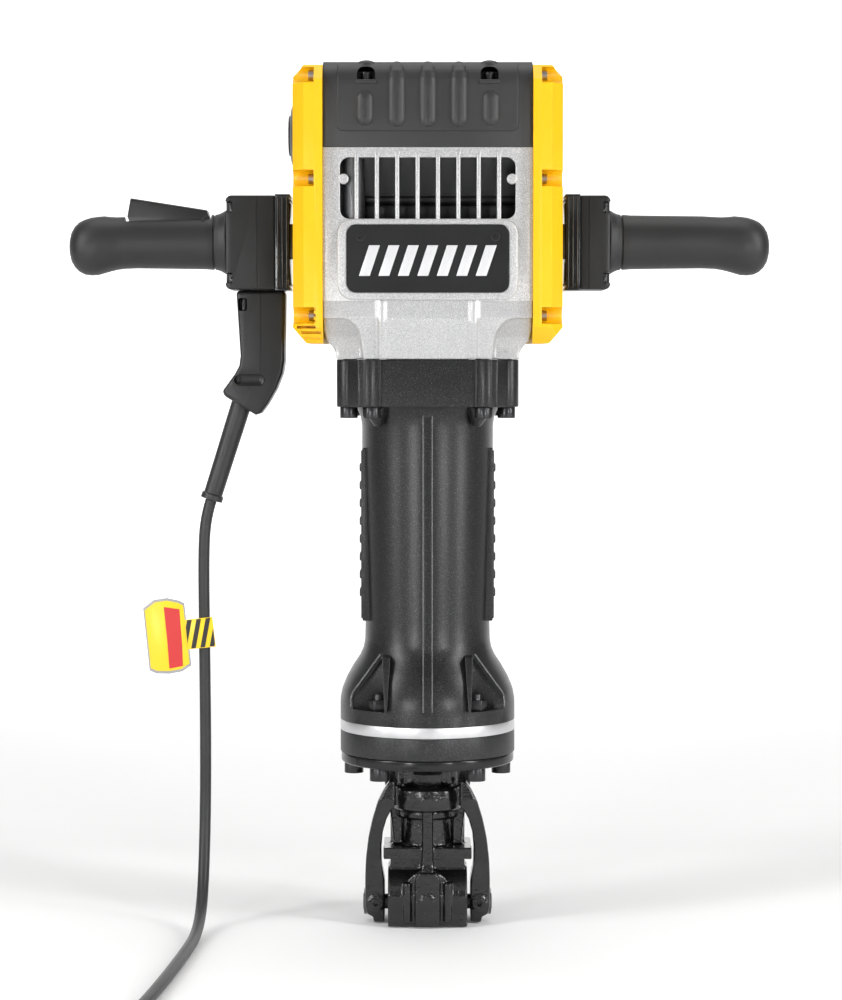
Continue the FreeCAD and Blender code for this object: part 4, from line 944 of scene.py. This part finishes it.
def makeNose():
    low, high, radius = nose["plate"]
    plate = turned("nosePlate", [(22, low), (radius - 1.5, low), (radius, low + 1.4), (radius, high - 1.2),
            (radius - 1, high), (22, high)], steps=160)
    roundEdges(plate, 0.6, 2)
    for turn in barrel["through"] + (0, 180):
        x, y = onBoltCircle(turn)
        carve(plate, [bar("boltWay", (x, y, 140), (x, y, 170), 6.05, 32)])
    settle(plate, "nosePlate", "root", "machinedBlack", (), 36)
    neck = turned("noseCasting", [(0, 74), (25, 74), (25, 104), (27, 112), (27.5, 120), (29, 140), (34, 149),
            (36, 153), (0, 153)], steps=64)
    parts = [neck]
    for side in (-1, 1):
        web = [(8, 153), (43, 153), (41.5, 140), (37, 118), (33.6, 96), (31.8, 80), (31.6, 60), (8, 60)]
        parts.append(slabXZ("sideWeb", flipped(web, side), -8.5, 8.5))
        parts.append(bar("webEdge", (side * 29, 0, 62), (side * 29.5, 0, 112), 5.2, 32))
        parts.append(block("shelfArm", (side * 6, -30, 63), (side * 40.5, 30, 73.5)))
        parts.append(bar("upperLug", (side * 19, -20, 132), (side * 19, -20, 151), 9, 32))
    parts.append(block("shelfBridge", (-34, -20, 52), (34, 20, 68)))
    parts.append(bar("collarRing", (0, 0, 99), (0, 0, 107), 28.5, 64, 2))
    for back in (-1, 1):
        parts.append(block("frontRib", (-4.2, back * 10, 46), (4.2, back * 36, 112)))
        parts.append(slabYZ("ribFoot", [(back * y, z) for y, z in ((10, 40), (38, 40), (36.5, 56), (30, 74),
                (10, 80))], -5.4, 5.4))
        parts.append(bar("drum", (-36.4, back * 9.6, 27), (36.4, back * 9.6, 27), 26.6, 96))
        for side in (-1, 1):
            parts.append(bar("bossRidge", (side * 18.6, back * 35.4, 6), (side * 18.6, back * 35.4, 42), 3.6,
                    24))
        parts.append(slabXZ("boss", bothWays([(20.5, 5), (20.5, 38), (17.5, 45), (12, 50), (6, 52)]),
                back * 20, back * 35.2))
        parts.append(slabXZ("bossMiddle", bothWays([(11, 3), (11, 46), (8, 51)]), back * 20, back * 39.2))
        parts.append(bar("bossPlug", (0, back * 30, 25.5), (0, back * 40.2, 25.5), 6, 40))
    parts.append(block("lowerBlock", (-36.4, -33, 0.9), (36.4, 33, 30)))
    parts.append(block("upperBlock", (-34.5, -20, 30), (34.5, 20, 56)))
    casting = merged(parts)
    castSkin(casting, nose["voxel"], 4)
    carve(casting, [bar("sleeveWay", (0, 0, -5), (0, 0, 150.3), 21.05, 96)])
    carve(casting, [block("trim", (-60, -60, -20), (60, 60, 0.05))])
    carve(casting, [bar("pivotWay", (-60, 0, latch["pivot"]), (60, 0, latch["pivot"]), 7.02, 48)])
    settle(casting, "noseCasting", "root", "castNose", ["nose_casting"], 60)


latch = {"pin": 47.6, "pinHeight": 19.6, "pivot": 18.5, "voxel": 0.95}


def latchPin(name, side, front, back, radius, sides, bevel=0):
    # a bar along Y at a roll pin's place
    spot = side * latch["pin"]
    return bar(name, (spot, front, latch["pinHeight"]), (spot, back, latch["pinHeight"]), radius, sides,
            bevel)


def makeLatch():
    outline = [(0, 128.5), (22, 128.5), (28.5, 131), (31, 137), (35, 136.5), (40, 129), (45.5, 118),
            (50.5, 101), (54.4, 82), (56.8, 62), (57.6, 42), (57.4, 16), (55.5, 9), (50.4, 6.4), (49.6, 1),
            (39.8, 1), (39.4, 12), (39.4, 40), (42, 55), (42.4, 72), (41, 88), (37.5, 101), (33, 110),
            (29, 113.5), (20, 109.5), (10, 107.6), (0, 107)]
    yoke = slabXZ("latchYoke", outline + [(-x, z) for x, z in reversed(outline[1:-1])], -60, 30)
    profile = [(-13, 1), (13, 1), (15.5, 16), (14, 34), (6, 60), (-10, 90), (-26, 107), (-27.5, 118),
            (-28, 138), (-40.8, 138), (-42, 118), (-39, 106), (-30, 88), (-18.5, 60), (-16.5, 34),
            (-16.5, 16)]
    carve(yoke, [slabYZ("yokeSide", profile, -60, 60)], "INTERSECT")
    carve(yoke, [block("bandRoom", (-30, -60, 100), (30, -31.5, 140))])
    # the round band that hugs the neck in front, bulging in the middle
    band = turned("yokeBand", [(27, 108.5), (30.5, 107), (33.6, 110), (34.6, 119), (33.8, 127.5),
            (30.5, 130.5), (27, 129.5)], "Z", (0, -9, 0), 72)
    carve(band, [block("bandBack", (-50, -16, 90), (50, 50, 150))])
    parts = [yoke, band]
    for side in (-1, 1):
        parts.append(latchPin("pinBoss", side, -10, -17.6, 7, 40))
        parts.append(bar("eyeBoss", (side * 41, 0, latch["pivot"]), (side * 59, 0, latch["pivot"]), 12, 48))
    yoke = merged(parts)
    castSkin(yoke, latch["voxel"], 8)
    for side in (-1, 1):
        carve(yoke, [bar("eye", (side * 36, 0, latch["pivot"]), (side * 62, 0, latch["pivot"]), 7.06, 48)])
        carve(yoke, [latchPin("pinWay", side, -25, -13, 4.5, 40)])
    carve(yoke, [block("trim", (-70, -60, -20), (70, 60, 0.7))])
    settle(yoke, "latchYoke", "latch", "castNose", ["latch_yoke"], 60)
    pins = []
    for side in (-1, 1):
        pin = latchPin("rollPin", side, -18.4, -10, 4.4, 48)
        carve(pin, [latchPin("pinHole", side, -25, -11.5, 2.7, 40)])
        roundEdges(pin, 0.4, 2)
        pins.append(pin)
    settle(merged(pins), "latchRollPins", "latch", "blackSteel")


handle = {"height": 628, "leftStart": 183.5, "rightStart": 166, "radius": 24.4, "droop": 4.4}


def gripSkin(name, end, start, length):
    # a grip turned about X, with a concave neck and a round-edged bulb that hangs a little lower
    r = handle["radius"]
    profile = [(19, 12.5), (19, 0.2), (29.4, 0.2), (28.8, 2), (27.2, 4.6), (25.7, 8), (25.4, 10.6),
            (24.2, 10.9), (24.2, 11.9), (25.3, 12.2), (r + 0.3, 20), (r, 40), (r - 0.5, length - 62),
            (r - 0.6, length - 50), (r - 0.3, length - 44), (r + 0.5, length - 38), (r + 1.7, length - 32),
            (r + 2.3, length - 26), (r + 2.1, length - 20), (r + 0.8, length - 14), (r - 1.6, length - 9),
            (r - 5.4, length - 5), (r - 10.4, length - 2), (r - 16.5, length - 0.4), (0, length),
            (0, length - 14), (19, length - 14)]
    skin = turned(name, [(radius, end * (start + along)) for radius, along in profile], "X",
            (0, 0, handle["height"]), 96)
    roundEdges(skin, 0.6, 2, 35)
    # the outer end hangs a little: each ring beyond a station moves down by one more small step
    editOn(skin)
    for back in range(0, 40, 5):
        choose("VERT", lambda vertex: abs(vertex.co.x) > (start + length - 51 + back) * mm)
        bpy.ops.transform.translate(value=(0, 0, -handle["droop"] / 8 * mm))
    editOff()
    return skin


def makeGrips():
    left = gripSkin("gripLeft", -1, handle["leftStart"], 144.5)
    carve(left, [block("leverWay", (-277.6, -14.4, 634), (-197.6, 14.4, 660), 0.3)])
    carve(left, [bar("leverPinWay", (-205, -30, 648), (-205, 30, 648), 2.05, 32)])
    settle(left, "gripLeft", "left_handle", "grip", ["grip_left"], 40)
    right = gripSkin("gripRight", 1, handle["rightStart"], 147)
    settle(right, "gripRight", "right_handle", "grip", ["grip_right"], 40)
    lever = copyOfNode("trigger_lever", "triggerLever")
    roundEdges(lever, 1.5, 4, 30)
    settle(lever, "triggerLever", "trigger", "handle", ["trigger_lever"], 40)


def makeBlocks():
    for end, label, body, reach, split in ((-1, "left", "left_handle", 183.5, 154.3),
            (1, "right", "right_handle", 166, 146)):
        title = label.title()
        piece = block("handleBlock" + title, (end * 138, -30, 584), (end * reach, 30, 669.4))
        softenAlong(piece, "Y", 5.5, 6, lambda spot: abs(spot.x) > (reach - 2))
        roundEdges(piece, 2.2, 4, 50)
        pins = []
        for back in (-1, 1):
            carve(piece, [block("seam", (end * split, back * 33, 570),
                    (end * (split + 0.7), back * 29.1, 690))])
            # the deep corner pockets with a screw post in each
            for low, high in ((590, 599.4), (653.4, 664)):
                carve(piece, [block("pocket", (end * (reach + 3), back * 33, low),
                        (end * (reach - 6.4), back * 14, high), 1.2)])
                pins.append(bar("pocketPost", (end * (reach - 4), back * 17, low + 1),
                        (end * (reach - 4), back * 17, high - 1), 2.6, 24))
        settle(merged([piece] + pins), "handleBlock" + title, body, "handle",
                ["handle_block_" + label], 36)
        bracket = copyOfNode("handle_bracket_" + label, "handleBracket" + title)
        ribs = []
        for back in (-1, 1):
            for x in (127.5, 131.5, 135.5):
                ribs.append(block("bracketRib", (end * (x - 0.7), back * 33.2, 585.5),
                        (end * (x + 0.7), back * 35.2, 667.8), 0.6))
        for low in (583, 667.2):
            ribs.append(block("bracketLip", (end * 124.4, -34.8, low), (end * 138.6, 34.8, low + 3), 1))
        roundEdges(bracket, 1, 3, 30)
        settle(merged([bracket] + ribs), "handleBracket" + title, body, "glossBracket",
                ["handle_bracket_" + label], 36)
        screws = copyOfNode("block_screws_" + label, "blockScrews" + title)
        roundEdges(screws, 0.4, 2, 40)
        settle(screws, "blockScrews" + title, body, "blackSteel", ["block_screws_" + label])


def makeSprings():
    # the springs at each guide rod, each copied with a mesh of its own
    for label in ("left", "right"):
        for level in ("upper", "lower"):
            node = "spring_" + label + "_" + level
            spring = copyOfNode(node, "spring" + label.title() + level.title())
            settle(spring, spring.name, "root", "zinc", [node], 50)
            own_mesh(spring)


def makeDuct():
    outline = [(-130, 583.4), (-130.6, 540), (-130.6, 520), (-132.5, 508), (-138, 494), (-146, 480),
            (-152.4, 471.4), (-157, 470), (-184, 486.4), (-187.6, 489.6), (-186.6, 493), (-176, 507.5),
            (-172, 515), (-170.8, 524), (-174.5, 583.4)]
    duct = slabXZ("cordDuct", outline, -20, 20)
    roundEdges(duct, 9, 7, 50)
    carve(duct, [block("screwRecess", (-172.6, -24, 565), (-164.6, -11, 576.4), 1.6)])
    extras = [bar("ductScrew", (-167.4, -14, 566), (-167.4, -14, 575.4), 3, 32)]
    # the long round-ended pocket low on the front, with a screw at its outer end
    carve(duct, [pill("longPocket", [(-171, -24.4, 502), (-153.6, -24.4, 502)], 7)], overlapping=True)
    carve(duct, [bar("pocketEnd", (-173.6, -30, 502), (-173.6, -11, 502), 3.4, 32)])
    extras.append(bar("pocketScrew", (-173.6, -14, 502), (-173.6, -11, 502), 2.6, 32))
    carve(duct, [block("seam", (-152.4, -23, 512), (-151.8, -19.5, 590))])
    carve(duct, [slabXZ("seam", [(-151.8, 512.4), (-152.4, 512.4), (-170.4, 476), (-169.8, 475.7)], -23,
            -19.5)])
    settle(merged([duct] + extras), "cordDuct", "left_handle", "handle", ["cord_duct"], 36)
    start, end = Vector((-171.2, 0, 480)), Vector((-199.35, 0, 391.4))
    way = end - start
    stations = [(0, 9.3), (0.25, 9.15), (0.5, 8.9), (0.93, 8.6), (0.945, 10.1), (0.995, 10.2)]
    guard = merged([bar("cordGuard", start + way * before[0], start + way * after[0], before[1], 48, 0,
            after[1]) for before, after in zip(stations, stations[1:])])
    settle(guard, "cordGuard", "left_handle", "cord", ["cord_guard"], 30)


tagShape = {"card": [(-262.1, 291.8), (-252, 299.5), (-240, 301.3), (-229, 299), (-224, 296.5), (-217.8, 239),
    (-226, 233.5), (-238, 231.3), (-250, 231.6), (-256.2, 234.3)], "field": [(-243, 293), (-228.5, 291),
    (-226, 257), (-225.5, 238.5), (-238, 236), (-240, 264)], "strap": [(-224, 281.2), (-198.2, 283.9),
    (-195, 256.4), (-221, 253.7)], "stripePitch": 8.4}


def insetOutline(points, distance):
    middle = (sum(x for x, _ in points) / len(points), sum(z for _, z in points) / len(points))
    shrunk = []
    for x, z in points:
        reach = math.hypot(x - middle[0], z - middle[1])
        share = 1 - distance / reach
        shrunk.append((middle[0] + (x - middle[0]) * share, middle[1] + (z - middle[1]) * share))
    return shrunk


def tagPaint(name, dark, light):
    # flat printed colour
    paint = Finish(name, Specular_IOR_Level=0.5)
    finishes[name] = paint.use(Base_Color=paint.blend(paint.noise(40), dark, light), Roughness=0.34)


def makeTag():
    tagPaint("tagGrey", (0.30, 0.30, 0.31), (0.36, 0.36, 0.37))
    tagPaint("tagYellow", (0.86, 0.56, 0.01), (0.92, 0.62, 0.02))
    tagPaint("tagRed", (0.52, 0.02, 0.02), (0.60, 0.03, 0.03))
    tagPaint("tagBlack", (0.012, 0.012, 0.012), (0.02, 0.02, 0.02))
    card, strap = tagShape["card"], tagShape["strap"]
    pieces = []
    for name, outline, near, far, bevel, segments, finish in (("tagCard", card, -7.15, -6.4, 0.2, 2,
            "tagGrey"), ("tagFace", insetOutline(card, 2.4), -7.3, -6.25, 0.1, 2, "tagYellow"),
            ("tagField", tagShape["field"], -7.45, -7.2, 0.05, 1, "tagRed"),
            ("tagStrap", strap, -8.0, -7.3, 0.2, 2, "tagYellow")):
        piece = slabXZ(name, outline, near, far, bevel, segments)
        pieces.append(settle(piece, name, "root", finish,
                ["cord_tag"] if name == "tagCard" else ()))
    stripes = []
    for number in range(4):
        x = -226.5 + number * tagShape["stripePitch"]
        stripes.append(slabXZ("tagStripe", [(x, 253), (x + 4.2, 253), (x + 10.2, 286), (x + 6, 286)], -8.2,
                -7.4))
    stripes = merged(stripes)
    carve(stripes, [slabXZ("stripeField", insetOutline(strap, 0.8), -9, -6)], "INTERSECT", True)
    return pieces + [settle(stripes, "tagStripes", "root", "tagBlack")]


makeCamera()
makeStudio()
dressCadNodes()
cord = makeCord()
cordPieces = makeCordPieces()
print("cord laid")
makeHousing()
makeBadge()
print("housing made")
makeTopCover()
makeSideCovers()
print("covers made")
makeBarrel()
print("barrel made")
makeNose()
makeLatch()
print("nose made")
makeGrips()
makeBlocks()
makeSprings()
makeDuct()
print("handles made")
cordPieces += makeTag()
print("tag made")
